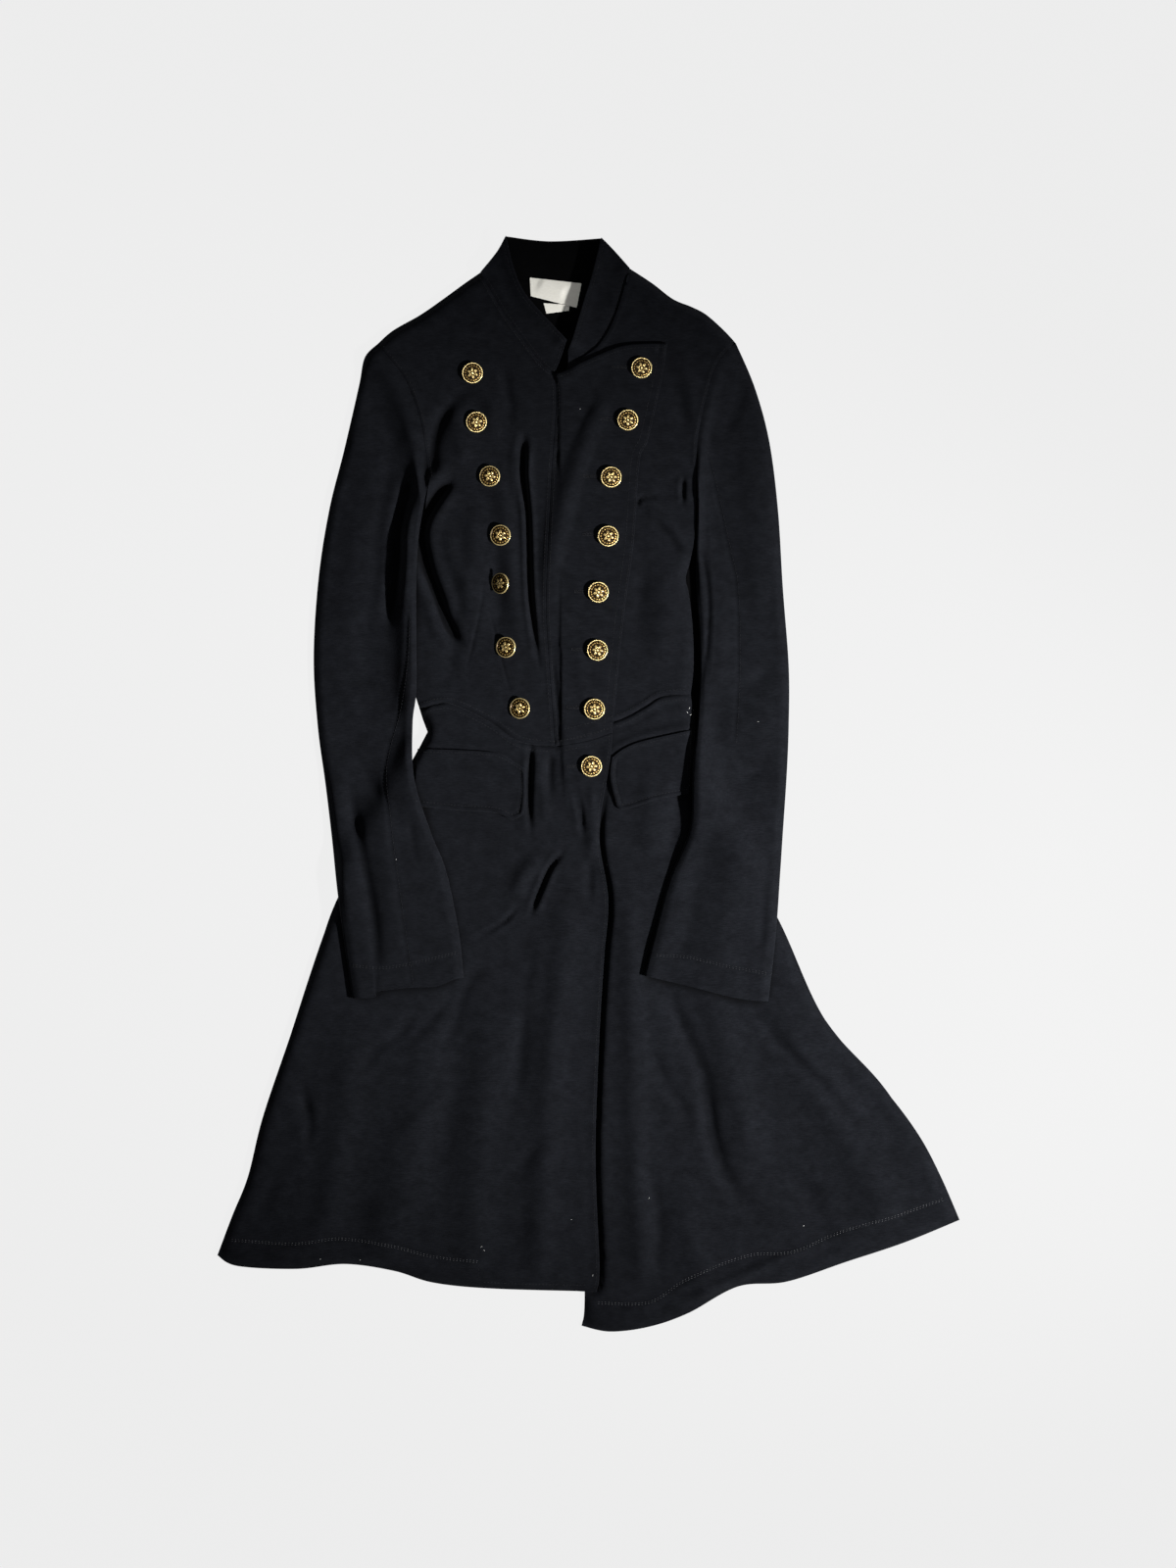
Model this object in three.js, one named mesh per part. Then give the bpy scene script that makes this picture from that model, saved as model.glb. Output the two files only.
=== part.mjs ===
// A double-breasted military coat with a stand collar and a flared skirt, laid out flat on its back.
// Millimetres: +X is the wearer's left, +Y runs from hem to collar and +Z is up from the surface.
// The origin is on that surface, below the middle of the coat's outline.

import * as THREE from "three";

// Driving dimensions
const CLOTH = 2; // brushed cotton fleece
const UNDER_CLOTH = 1.8; // the same fleece pressed below a sleeve
const LABEL_CLOTH = 1;
const SEAM_GAP = 0.3; // between pieces that are sewn edge to edge
const SLEEVE_SEAM_GAP = 0.45; // from the armhole's line to the head of a sleeve
const LAYER_GAP = 0.5; // between pieces that lie on each other
const BUTTON_RADIUS = 11.5; // 36 ligne
const BUTTON_EDGE = 2.1; // thickness of the gilt shell at its rim
const BUTTON_DOME = 1.3; // how far the middle stands above the rim
const BUTTON_CURL = 0.8; // height of the shell's curled back edge
const BUTTON_RIM = 2.2; // width of the raised rim
const BUTTON_RECESS = 0.5; // depth of the ring inside the rim
const BUTTON_SIDES = 12;
const SHANK_RADIUS = 3;
const SHANK_LENGTH = 1.5;
const BODICE_PUFF = 5; // how far a front stands off the back it lies on
const SKIRT_PUFF = 4;
const SLEEVE_HOLLOW = 3.6; // clear height between a sleeve's two walls
const FOLD_SLACK = 0.4; // extra cloth inside a sleeve's inner fold
const FOLD_TIP = 0.01; // keeps the tip of that fold off its flat underside
const COLLAR_STAND = 13; // the collar's fronts rise this far at the neck opening

// How far from its own places a piece still clears what lies below it
const PANEL_REACH = 30;
const SLEEVE_REACH = 24;
const COLLAR_REACH = 10;
const LABEL_REACH = 4;

// Raster that remembers how high each piece reaches
const CELL = 4;
const CELL_SHARE = 6; // steps across a cell of a grid when it is drawn on the raster
const FIELD = { left: -400, bottom: -580, columns: 200, rows: 290 };

const NAVY = new THREE.MeshStandardMaterial({ color: 0x17181d, roughness: 0.92, metalness: 0 });
const BLACK = new THREE.MeshStandardMaterial({ color: 0x08080a, roughness: 0.95, metalness: 0 });
const CREAM = new THREE.MeshStandardMaterial({ color: 0xdad7c8, roughness: 0.8, metalness: 0 });
const GILT = new THREE.MeshStandardMaterial({ color: 0xb08d45, roughness: 0.32, metalness: 1 });

const coat = new THREE.Group();
const rasters = new Map();

// Seam and edge lines, each a short table of the places that it runs through
const points = (...rows) => rows.map(([x, y]) => ({ x, y }));

const line = {
  // columns: x, y
  shoulderRight: points([-215, 448], [-199, 462], [-171, 478], [-148, 494], [-126, 510], [-110, 521]),
  shoulderLeft: points([42, 525], [65, 510], [86, 494], [105, 486], [120, 478], [138, 462], [150, 449]),
  armholeRight: points([-215, 448], [-200, 430], [-185, 409], [-170, 366], [-162, 310]),
  armholeLeft: points([150, 449], [131, 428], [119, 390], [111, 350], [110, 322]),
  sideRight: points([-162, 310], [-167, 270], [-171, 180], [-173, 110], [-172, 76]),
  sideLeft: points([110, 322], [101, 285], [98, 245], [105, 175], [108, 136], [102, 91]),
  backSideLeft: points([110, 322], [117, 300], [123, 240], [127, 160], [122, 95], [116, 55]),
  backSideRight: points([-162, 310], [-173, 275], [-180, 210], [-180, 120], [-172, 76], [-164, 53]),
  backNeck: points([-110, 521], [-60, 513], [-10, 511], [42, 525]),
  neckRight: points([-110, 521], [-88, 482], [-65, 450], [-48, 428], [-35, 417]),
  centreFront: points([-35, 417], [-33, 387], [-38, 310], [-43, 199], [-42, 150], [-34, 38]),
  overlapTop: points([-35, 417], [-22, 421], [0, 432], [37, 446], [80, 448]),
  overlapEdge: points([80, 448], [75, 414], [61, 352], [52, 328], [46, 247], [36, 170], [27, 82], [24, 52]),
  underlap: points([-28, 414], [-27, 230], [-26, 50]),
  waistRight: points([-172, 76], [-155, 81], [-138, 81], [-100, 63], [-70, 43], [-34, 38]),
  waistCentre: points([-34, 38], [0, 44], [24, 52]),
  waistLeft: points([-26, 50], [28, 64], [56, 78], [75, 89], [102, 91]),
  waistBack: points([-164, 53], [116, 55]),
  sweepRight: points(
    [-172, 76], [-164, 53], [-178, 27], [-204, -23], [-255, -115], [-278, -180],
    [-305, -260], [-332, -340], [-347, -400], [-363, -440], [-378, -480],
  ),
  sweepLeft: points(
    [102, 91], [107, 63], [110, 25], [130, -30], [160, -85], [192, -135], [218, -200],
    [241, -240], [273, -280], [309, -320], [338, -360], [359, -400], [378, -444],
  ),
  backSweepRight: points([-164, 53], [-204, -23], [-255, -115], [-305, -260], [-347, -400], [-374, -477]),
  backSweepLeft: points([116, 55], [130, -30], [192, -135], [241, -240], [309, -320], [374, -441]),
  hemRight: points(
    [-378, -480], [-358, -491], [-298, -494], [-248, -489],
    [-198, -496], [-158, -508], [-98, -514], [8, -517],
  ),
  hemLeft: points(
    [-7, -552], [22, -558], [62, -553], [102, -539], [152, -512],
    [202, -507], [262, -487], [322, -467], [378, -444],
  ),
  hemBack: points(
    [-374, -477], [-298, -489], [-248, -484], [-158, -502],
    [0, -511], [110, -512], [180, -502], [262, -482], [374, -441],
  ),
  openingEdge: points(
    [24, 52], [22, 24], [11, -51], [20, -117], [16, -175], [11, -257], [7, -378], [11, -491], [8, -517],
  ),
  underlapSkirt: points([-26, 50], [-18, -100], [-10, -300], [-4, -510], [-7, -552]),
  collarFoldRight: points([-84, 558], [-93, 542], [-110, 521]),
  collarFoldLeft: points([13, 556], [26, 543], [42, 525]),
  collarTop: points([-84, 558], [-40, 553], [13, 556]),
  collarOpeningRight: points([-84, 558], [-76, 525], [-65, 500], [-44, 475], [-22, 452]),
  collarOpeningLeft: points([13, 556], [4, 520], [-6, 488], [-16, 454], [-21, 441]),
  collarEndRight: points([-22, 452], [-28, 434], [-35, 417]),
  collarEndLeft: points([-21, 441], [-21, 424]),
  neckLeft: points([42, 525], [28, 478], [13, 450], [-2, 437], [-21, 424]),
};

// Pocket flaps: each is a strip from its stitched top edge to its free bottom edge
const flapLine = {
  topRight: points([-174, 36], [-118, 34], [-89, 30], [-64, 15]),
  bottomRight: points([-178, -22], [-130, -27], [-96, -29], [-78, -36], [-66, -31]),
  outerRight: points([-174, 36], [-178, -22]),
  innerRight: points([-64, 15], [-63, -8], [-66, -31]),
  topLeft: points([24, 27], [36, 36], [56, 44], [105, 55]),
  bottomLeft: points([29, -23], [38, -26], [70, -16], [102, -10]),
  innerLeft: points([24, 27], [22, 5], [29, -23]),
  outerLeft: points([105, 55], [102, -10]),
};

// Sleeves: a row for each section, from the armhole to the cuff
const sleeveRows = {
  right: [
    { outerX: -215, outerY: 448, innerX: -162, innerY: 310 },
    { outerX: -228, outerY: 434, innerX: -165, innerY: 296 },
    { outerX: -234, outerY: 405, innerX: -168, innerY: 280 },
    { outerX: -249, outerY: 340, innerX: -173, innerY: 248 },
    { outerX: -264, outerY: 280, innerX: -175, innerY: 205 },
    { outerX: -275, outerY: 210, innerX: -175, innerY: 150 },
    { outerX: -280, outerY: 130, innerX: -175, innerY: 95 },
    { outerX: -276, outerY: 60, innerX: -179, innerY: 60 },
    { outerX: -268, outerY: 0, innerX: -177, innerY: 5 },
    { outerX: -262, outerY: -50, innerX: -160, innerY: -50 },
    { outerX: -256, outerY: -105, innerX: -145, innerY: -88 },
    { outerX: -248, outerY: -165, innerX: -132, innerY: -150 },
    { outerX: -240, outerY: -218, innerX: -127, innerY: -197 },
  ],
  left: [
    { outerX: 150, outerY: 449, innerX: 110, innerY: 322 },
    { outerX: 169, outerY: 405, innerX: 113, innerY: 286 },
    { outerX: 184, outerY: 350, innerX: 117, innerY: 240 },
    { outerX: 193, outerY: 280, innerX: 121, innerY: 195 },
    { outerX: 198, outerY: 200, innerX: 122, innerY: 150 },
    { outerX: 204, outerY: 120, innerX: 115, innerY: 95 },
    { outerX: 204, outerY: 60, innerX: 111, innerY: 60 },
    { outerX: 202, outerY: 10, innerX: 107, innerY: 15 },
    { outerX: 198, outerY: -50, innerX: 102, innerY: -45 },
    { outerX: 195, outerY: -95, innerX: 83, innerY: -98 },
    { outerX: 190, outerY: -160, innerX: 67, innerY: -155 },
    { outerX: 183, outerY: -221, innerX: 57, innerY: -195 },
  ],
};

const cuffLine = {
  right: points([-240, -218], [-184, -213], [-155, -206], [-127, -197]),
  left: points([183, -221], [152, -218], [100, -205], [57, -195]),
};

// Folds: each runs from start through middle to end and dies away at both ends
const folds = {
  bodiceRight: [
    { start: [-133, 298], middle: [-168, 240], end: [-121, 143], height: -7, width: 8 },
    { start: [-121, 406], middle: [-156, 366], end: [-150, 300], height: -4, width: 9 },
    { start: [-60, 352], middle: [-54, 240], end: [-44, 118], height: -8, width: 7 },
    { start: [-76, 345], middle: [-74, 240], end: [-62, 110], height: 7, width: 10 },
    { start: [-104, 300], middle: [-112, 200], end: [-118, 110], height: 4, width: 14 },
  ],
  overlap: [
    { start: [30, 425], middle: [0, 320], end: [-12, 180], height: 5, width: 14 },
    { start: [-26, 380], middle: [-27, 300], end: [-30, 180], height: -3, width: 8 },
  ],
  bodiceLeft: [
    { start: [50, 290], middle: [72, 274], end: [98, 244], height: -4, width: 9 },
    { start: [66, 240], middle: [80, 190], end: [72, 110], height: 4, width: 18 },
  ],
  skirtRight: [
    { start: [-60, 43], middle: [-62, -20], end: [-59, -58], height: -5, width: 7 },
    { start: [-19, 19], middle: [-9, -26], end: [-5, -57], height: -5, width: 7 },
    { start: [-37, -79], middle: [-50, -108], end: [-61, -136], height: -6, width: 8 },
    { start: [-63, -115], middle: [-83, -138], end: [-112, -155], height: -4, width: 8 },
    { start: [-40, -60], middle: [-46, -280], end: [-62, -500], height: 6, width: 20 },
    { start: [-86, -170], middle: [-98, -330], end: [-112, -500], height: -3, width: 18 },
    { start: [-130, -230], middle: [-160, -370], end: [-190, -490], height: 5, width: 24 },
    { start: [-290, -270], middle: [-286, -340], end: [-276, -410], height: -5, width: 10 },
    { start: [-240, -260], middle: [-262, -370], end: [-300, -480], height: 5, width: 22 },
  ],
  skirtLeft: [
    { start: [108, 62], middle: [103, -10], end: [80, -92], height: -9, width: 9 },
    { start: [55, -70], middle: [60, -250], end: [84, -470], height: 6, width: 20 },
    { start: [92, -215], middle: [120, -345], end: [170, -470], height: -6, width: 16 },
    { start: [150, -220], middle: [180, -350], end: [240, -470], height: 7, width: 24 },
    { start: [180, -245], middle: [234, -304], end: [300, -380], height: -5, width: 16 },
    { start: [250, -290], middle: [300, -380], end: [330, -450], height: 5, width: 18 },
    { start: [58, -378], middle: [71, -437], end: [66, -530], height: -4, width: 12 },
  ],
  sleeve_right: [
    { start: [-176, 312], middle: [-198, 255], end: [-208, 165], height: -6, width: 9 },
    { start: [-248, 20], middle: [-228, -90], end: [-215, -210], height: -4, width: 9 },
    { start: [-216, 330], middle: [-238, 200], end: [-240, 80], height: 4, width: 20 },
    { start: [-200, -10], middle: [-185, -100], end: [-170, -200], height: 3, width: 16 },
  ],
  sleeve_left: [
    { start: [128, 330], middle: [142, 200], end: [138, 60], height: -3, width: 10 },
    { start: [160, 360], middle: [172, 200], end: [165, 20], height: 4, width: 20 },
    { start: [150, -20], middle: [140, -110], end: [128, -195], height: 4, width: 22 },
  ],
};

// Buttons: two rows of gilt shank buttons, a row of the table for each
// lean is how many degrees a button tips towards the wearer's right
const buttonPlaces = {
  right: [
    { x: -118, y: 418, lean: 0 },
    { x: -114, y: 368, lean: 0 },
    { x: -100, y: 313, lean: 4 },
    { x: -89, y: 253, lean: 6 },
    { x: -88, y: 204, lean: 42 },
    { x: -83, y: 139, lean: 26 },
    { x: -69, y: 77, lean: 24 },
  ],
  left: [
    { x: 54, y: 423, lean: 0 },
    { x: 40, y: 370, lean: 0 },
    { x: 23, y: 312, lean: 0 },
    { x: 20, y: 252, lean: 0 },
    { x: 10, y: 195, lean: 0 },
    { x: 9, y: 136, lean: 0 },
    { x: 6, y: 76, lean: 0 },
    { x: 3, y: 18, lean: 0 },
  ],
};

// Evenly spaced places along a smooth line
function along(rows, count) {
  const curve = new THREE.SplineCurve(rows.map((row) => new THREE.Vector2(row.x, row.y)));
  curve.arcLengthDivisions = 400;
  return Array.from({ length: count + 1 }, (_, i) => curve.getPointAt(i / count));
}

const joined = (first, second) => first.concat(second.slice(1));

// A four-sided patch between its edges; rows run from the first to the last place of left and right
function patch(top, bottom, left, right) {
  const columns = top.length - 1;
  const rows = left.length - 1;
  return left.map((_, j) =>
    top.map((_, i) => {
      const u = i / columns;
      const v = j / rows;
      const blend = (axis) =>
        (1 - v) * top[i][axis] + v * bottom[i][axis] + (1 - u) * left[j][axis] + u * right[j][axis] -
        (1 - u) * (1 - v) * top[0][axis] - u * (1 - v) * top[columns][axis] -
        (1 - u) * v * bottom[0][axis] - u * v * bottom[columns][axis];
      return { x: blend("x"), y: blend("y"), u, v };
    }),
  );
}

// Draws the rim of a grid in by half a seam gap
function insetRim(grid) {
  const lastRow = grid.length - 1;
  const lastColumn = grid[0].length - 1;
  const clampTo = (value, last) => Math.min(Math.max(value, 1), last - 1);
  return grid.map((row, j) =>
    row.map((place, i) => {
      if (i > 0 && i < lastColumn && j > 0 && j < lastRow) return place;
      const inner = grid[clampTo(j, lastRow)][clampTo(i, lastColumn)];
      const away = new THREE.Vector2(inner.x - place.x, inner.y - place.y);
      away.setLength((SEAM_GAP / 2) * (i % lastColumn === 0 && j % lastRow === 0 ? Math.SQRT2 : 1.1));
      return { ...place, x: place.x + away.x, y: place.y + away.y };
    }),
  );
}

// How far a place lies from a fold's line, and how far along it
function offFold(place, fold) {
  const ends = [fold.start, fold.middle, fold.end];
  let best = { distance: Infinity, along: 0 };
  for (let k = 0; k < 2; k += 1) {
    const [ax, ay] = ends[k];
    const dx = ends[k + 1][0] - ax;
    const dy = ends[k + 1][1] - ay;
    const reach = ((place.x - ax) * dx + (place.y - ay) * dy) / (dx * dx + dy * dy);
    const t = Math.min(Math.max(reach, 0), 1);
    const distance = Math.hypot(place.x - ax - t * dx, place.y - ay - t * dy);
    if (distance < best.distance) best = { distance, along: (k + t) / 2 };
  }
  return best;
}

function relief(place, list) {
  return list.reduce((sum, fold) => {
    const { distance, along: t } = offFold(place, fold);
    const taper = Math.sin(Math.PI * Math.min(Math.max(t, 0.06), 0.94)) ** 0.6;
    return sum + fold.height * taper * Math.exp(-((distance / fold.width) ** 2));
  }, 0);
}

// A closed wall between two grids of places of the same size
function wall(outside, inside) {
  const rows = outside.length;
  const columns = outside[0].length;
  const places = [...outside.flat(), ...inside.flat()];
  const positions = new Float32Array(places.flatMap((p) => [p.x, p.y, p.z]));
  const outer = (j, i) => j * columns + i;
  const inner = (j, i) => rows * columns + j * columns + i;
  const index = [];
  const quad = (a, b, c, d) => index.push(a, b, c, a, c, d);
  for (let j = 0; j < rows - 1; j += 1)
    for (let i = 0; i < columns - 1; i += 1) {
      quad(outer(j, i), outer(j + 1, i), outer(j + 1, i + 1), outer(j, i + 1));
      quad(inner(j, i), inner(j, i + 1), inner(j + 1, i + 1), inner(j + 1, i));
    }
  for (let j = 0; j < rows - 1; j += 1) {
    quad(outer(j, 0), inner(j, 0), inner(j + 1, 0), outer(j + 1, 0));
    quad(outer(j, columns - 1), outer(j + 1, columns - 1), inner(j + 1, columns - 1), inner(j, columns - 1));
  }
  for (let i = 0; i < columns - 1; i += 1) {
    quad(outer(0, i), outer(0, i + 1), inner(0, i + 1), inner(0, i));
    quad(outer(rows - 1, i), inner(rows - 1, i), inner(rows - 1, i + 1), outer(rows - 1, i + 1));
  }
  const geometry = new THREE.BufferGeometry();
  geometry.setAttribute("position", new THREE.BufferAttribute(positions, 3));
  geometry.setIndex(signedVolume(positions, index) < 0 ? index.reverse() : index);
  geometry.computeVertexNormals();
  return geometry;
}

function signedVolume(positions, index) {
  const corner = (k) => new THREE.Vector3().fromArray(positions, 3 * index[k]);
  let sum = 0;
  for (let k = 0; k < index.length; k += 3) sum += corner(k).dot(corner(k + 1).cross(corner(k + 2)));
  return sum / 6;
}

function cellOf(x, y) {
  return [Math.round((x - FIELD.left) / CELL), Math.round((y - FIELD.bottom) / CELL)];
}

// Records how high a grid of places reaches
function remember(name, grid) {
  const raster = rasters.get(name) ?? new Float32Array(FIELD.columns * FIELD.rows);
  for (let j = 0; j < grid.length - 1; j += 1)
    for (let i = 0; i < grid[0].length - 1; i += 1)
      for (let k = 0; k <= CELL_SHARE; k += 1)
        for (let m = 0; m <= CELL_SHARE; m += 1) {
          const s = k / CELL_SHARE;
          const t = m / CELL_SHARE;
          const mix = (axis) =>
            (1 - s) * ((1 - t) * grid[j][i][axis] + t * grid[j][i + 1][axis]) +
            s * ((1 - t) * grid[j + 1][i][axis] + t * grid[j + 1][i + 1][axis]);
          const [column, row] = cellOf(mix("x"), mix("y"));
          const cell = row * FIELD.columns + column;
          raster[cell] = Math.max(raster[cell], mix("z"));
        }
  rasters.set(name, raster);
}

// The highest that the named pieces reach within some distance of a place
function highest(place, names, reach) {
  const [column, row] = cellOf(place.x, place.y);
  const span = Math.ceil(reach / CELL);
  let top = 0;
  for (const name of names)
    for (let dr = -span; dr <= span; dr += 1)
      for (let dc = -span; dc <= span; dc += 1)
        if (Math.hypot(dr, dc) * CELL <= reach + CELL / 2)
          top = Math.max(top, rasters.get(name)[(row + dr) * FIELD.columns + column + dc]);
  return top;
}

function add(name, geometry, material) {
  const mesh = new THREE.Mesh(geometry, material);
  mesh.name = name;
  coat.add(mesh);
  return mesh;
}

// A panel of cloth that lies on other pieces, with a height of its own at each place
function panel(
  name,
  grid,
  { on = [], reach = PANEL_REACH, thickness = CLOTH, lift = () => 0, material = NAVY } = {},
) {
  const top = insetRim(grid).map((row) =>
    row.map((place) => {
      const under = highest(place, on, reach);
      const rest = under > 0 ? under + LAYER_GAP : 0;
      return { ...place, z: rest + thickness + Math.max(0, lift(place)) };
    }),
  );
  const bottom = top.map((row) => row.map((place) => ({ ...place, z: place.z - thickness })));
  remember(name, top);
  return add(name, wall(top, bottom), material);
}

// How a panel swells inside: 0 at its edges and 1 further in, the sooner the higher the power
const fromBothEdges = (t, power) => 1 - Math.abs(2 * t - 1) ** power;
const fromStart = (t, power) => 1 - (1 - t) ** power;
const fromEnd = (t, power) => 1 - t ** power;

const leftLift = (puff, list) => (place) => {
  const { u, v } = place;
  return puff * u * fromBothEdges(u, 4) * fromBothEdges(v, 6) + relief(place, list);
};

const bodiceRightLift = (place) => {
  const { u, v } = place;
  return BODICE_PUFF * fromBothEdges(v, 6) * fromStart(u, 6) + relief(place, folds.bodiceRight);
};

const skirtRightLift = (place) => {
  const { u, v } = place;
  return SKIRT_PUFF * fromStart(u, 6) * fromEnd(u, 6) * fromBothEdges(v, 6) + relief(place, folds.skirtRight);
};

const collarLift = ({ u, v }) => {
  const alongOpening = 0.25 + 0.75 * Math.sin(Math.PI * (0.1 + 0.8 * v));
  return COLLAR_STAND * Math.sin((Math.PI / 2) * u) * alongOpening;
};

const seam = {
  shoulderRight: along(line.shoulderRight, 6),
  shoulderLeft: along(line.shoulderLeft, 6),
  armholeRight: along(line.armholeRight, 8),
  armholeLeft: along(line.armholeLeft, 8),
  neckRight: along(line.neckRight, 6),
  neckLeft: along(line.neckLeft, 6),
  backNeck: along(line.backNeck, 6),
  centreFront: along(line.centreFront, 18),
  waistRight: along(line.waistRight, 12),
  waistCentre: along(line.waistCentre, 6),
  waistLeft: along(line.waistLeft, 13),
};

// Back, flat on the surface
const backTop = joined(joined(seam.shoulderRight, seam.backNeck), seam.shoulderLeft);
panel(
  "back_bodice",
  patch(
    backTop,
    along(line.waistBack, 18),
    joined(seam.armholeRight, along(line.backSideRight, 6)),
    joined(seam.armholeLeft, along(line.backSideLeft, 6)),
  ),
);
panel(
  "back_skirt",
  patch(
    along(line.waistBack, 14),
    along(line.hemBack, 14),
    along(line.backSweepRight, 10),
    along(line.backSweepLeft, 10),
  ),
);

// Left front and left skirt, which the right ones button over
panel(
  "bodice_left",
  patch(
    [line.underlap[0], ...seam.neckLeft.toReversed(), ...seam.shoulderLeft.slice(1)],
    seam.waistLeft,
    along(line.underlap, 18),
    joined(seam.armholeLeft, along(line.sideLeft, 10)),
  ),
  { on: ["back_bodice", "back_skirt"], lift: leftLift(BODICE_PUFF, folds.bodiceLeft) },
);
panel(
  "skirt_left",
  patch(
    seam.waistLeft,
    along(line.hemLeft, 13),
    along(line.underlapSkirt, 20),
    along(line.sweepLeft, 20),
  ),
  { on: ["back_skirt", "back_bodice"], lift: leftLift(SKIRT_PUFF, folds.skirtLeft) },
);

// Right front with its overlap, and right skirt
panel(
  "bodice_right",
  patch(
    joined(seam.shoulderRight, seam.neckRight),
    seam.waistRight,
    joined(seam.armholeRight, along(line.sideRight, 10)),
    seam.centreFront,
  ),
  { on: ["back_bodice", "back_skirt"], lift: bodiceRightLift },
);
panel(
  "front_overlap",
  patch(along(line.overlapTop, 6), seam.waistCentre, seam.centreFront, along(line.overlapEdge, 18)),
  {
    on: ["back_bodice", "back_skirt", "bodice_left", "skirt_left"],
    lift: (place) => relief(place, folds.overlap),
  },
);
panel(
  "skirt_right",
  patch(
    joined(seam.waistRight, seam.waistCentre),
    along(line.hemRight, 18),
    along(line.sweepRight, 20),
    along(line.openingEdge, 20),
  ),
  { on: ["back_skirt", "back_bodice", "skirt_left", "bodice_left"], lift: skirtRightLift },
);

// Pocket flaps
panel(
  "pocket_flap_right",
  patch(
    along(flapLine.topRight, 8),
    along(flapLine.bottomRight, 8),
    along(flapLine.outerRight, 4),
    along(flapLine.innerRight, 4),
  ),
  { on: ["skirt_right", "bodice_right"] },
);
panel(
  "pocket_flap_left",
  patch(
    along(flapLine.topLeft, 6),
    along(flapLine.bottomLeft, 6),
    along(flapLine.innerLeft, 4),
    along(flapLine.outerLeft, 4),
  ),
  { on: ["skirt_left", "bodice_left"] },
);

// Stand collar: its back lies inside up, and its two fronts fold over and rise at the opening
panel(
  "collar_back",
  patch(
    along(line.collarTop, 6),
    seam.backNeck,
    along(line.collarFoldRight, 4),
    along(line.collarFoldLeft, 4),
  ),
  { material: BLACK },
);
panel(
  "collar_right",
  patch(
    along(line.collarFoldRight, 5).reverse(),
    along(line.collarEndRight, 5).reverse(),
    seam.neckRight,
    along(line.collarOpeningRight, 6),
  ),
  { on: ["collar_back", "back_bodice"], reach: COLLAR_REACH, lift: collarLift },
);
panel(
  "collar_left",
  patch(
    along(line.collarFoldLeft, 5).reverse(),
    along(line.collarEndLeft, 5).reverse(),
    seam.neckLeft,
    along(line.collarOpeningLeft, 6),
  ),
  { on: ["collar_back", "back_bodice"], reach: COLLAR_REACH, lift: collarLift },
);

// Sleeves: an under sleeve that wraps the inner fold and a top sleeve that arches over it
const SLEEVE_COLUMNS = 8;
const SLEEVE_ROWS = 24;

function sleeveGrid(armhole, rows, cuff) {
  const track = (x, y) => along(rows.map((row) => ({ x: row[x], y: row[y] })), SLEEVE_ROWS);
  const outer = track("outerX", "outerY");
  const inner = track("innerX", "innerY");
  const grid = patch(armhole, along(cuff, SLEEVE_COLUMNS), outer, inner);
  const head = grid[0].map((place, i) => stepTowards(place, grid[1][i], SLEEVE_SEAM_GAP));
  return [head, ...grid.slice(1)];
}

function stepTowards(place, target, distance) {
  const step = new THREE.Vector2(target.x - place.x, target.y - place.y).setLength(distance);
  return { ...place, x: place.x + step.x, y: place.y + step.y };
}

function sleeve(side, { armhole, on, seamColumn }) {
  const raise = (grid, by) => grid.map((row) => row.map((place) => ({ ...place, z: place.z + by(place) })));
  const floor = sleeveGrid(armhole, sleeveRows[side], cuffLine[side]).map((row) =>
    row.map((place) => {
      const under = highest(place, on, SLEEVE_REACH);
      return { ...place, z: under > 0 ? under + LAYER_GAP : 0 };
    }),
  );
  const hollow = ({ u }) => SLEEVE_HOLLOW * (1 - Math.abs(2 * u - 1) ** 4);
  const creases = folds[`sleeve_${side}`];
  const roof = raise(
    floor,
    (place) => UNDER_CLOTH + SEAM_GAP + CLOTH + Math.max(0, hollow(place) + relief(place, creases)),
  );
  remember(`sleeve_${side}`, roof);
  // The top sleeve runs from the outer fold to the seam on the upper side
  const topGrid = roof.map((row) => [
    ...row.slice(0, seamColumn),
    stepTowards(row[seamColumn], row[seamColumn - 1], SEAM_GAP / 2),
  ]);
  const underneath = (grid) => raise(grid, () => -CLOTH);
  add(`sleeve_${side}_top`, wall(topGrid, underneath(topGrid)), NAVY);
  // The under sleeve runs flat below, round the inner fold and back up to that seam
  const returning = roof.map((row) => [
    ...row.slice(seamColumn + 1, SLEEVE_COLUMNS).toReversed(),
    stepTowards(row[seamColumn], row[seamColumn + 1], SEAM_GAP / 2),
  ]);
  const fold = (inward) =>
    floor.map((row, j) => {
      const middle = { ...row[SLEEVE_COLUMNS], z: (row[SLEEVE_COLUMNS].z + roof[j][SLEEVE_COLUMNS].z) / 2 };
      return stepTowards(middle, row[SLEEVE_COLUMNS - 1], inward);
    });
  const strip = (low, middle, high) => low.map((row, j) => [...row.slice(0, -1), middle[j], ...high[j]]);
  add(
    `sleeve_${side}_under`,
    wall(
      strip(floor, fold(FOLD_TIP), returning),
      strip(raise(floor, () => UNDER_CLOTH), fold(UNDER_CLOTH + FOLD_SLACK), underneath(returning)),
    ),
    NAVY,
  );
}

sleeve("right", {
  armhole: seam.armholeRight,
  on: ["back_bodice", "back_skirt", "skirt_right", "pocket_flap_right"],
  seamColumn: 5,
});
sleeve("left", {
  armhole: seam.armholeLeft,
  on: ["back_bodice", "back_skirt", "skirt_left", "pocket_flap_left"],
  seamColumn: 6,
});

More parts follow.
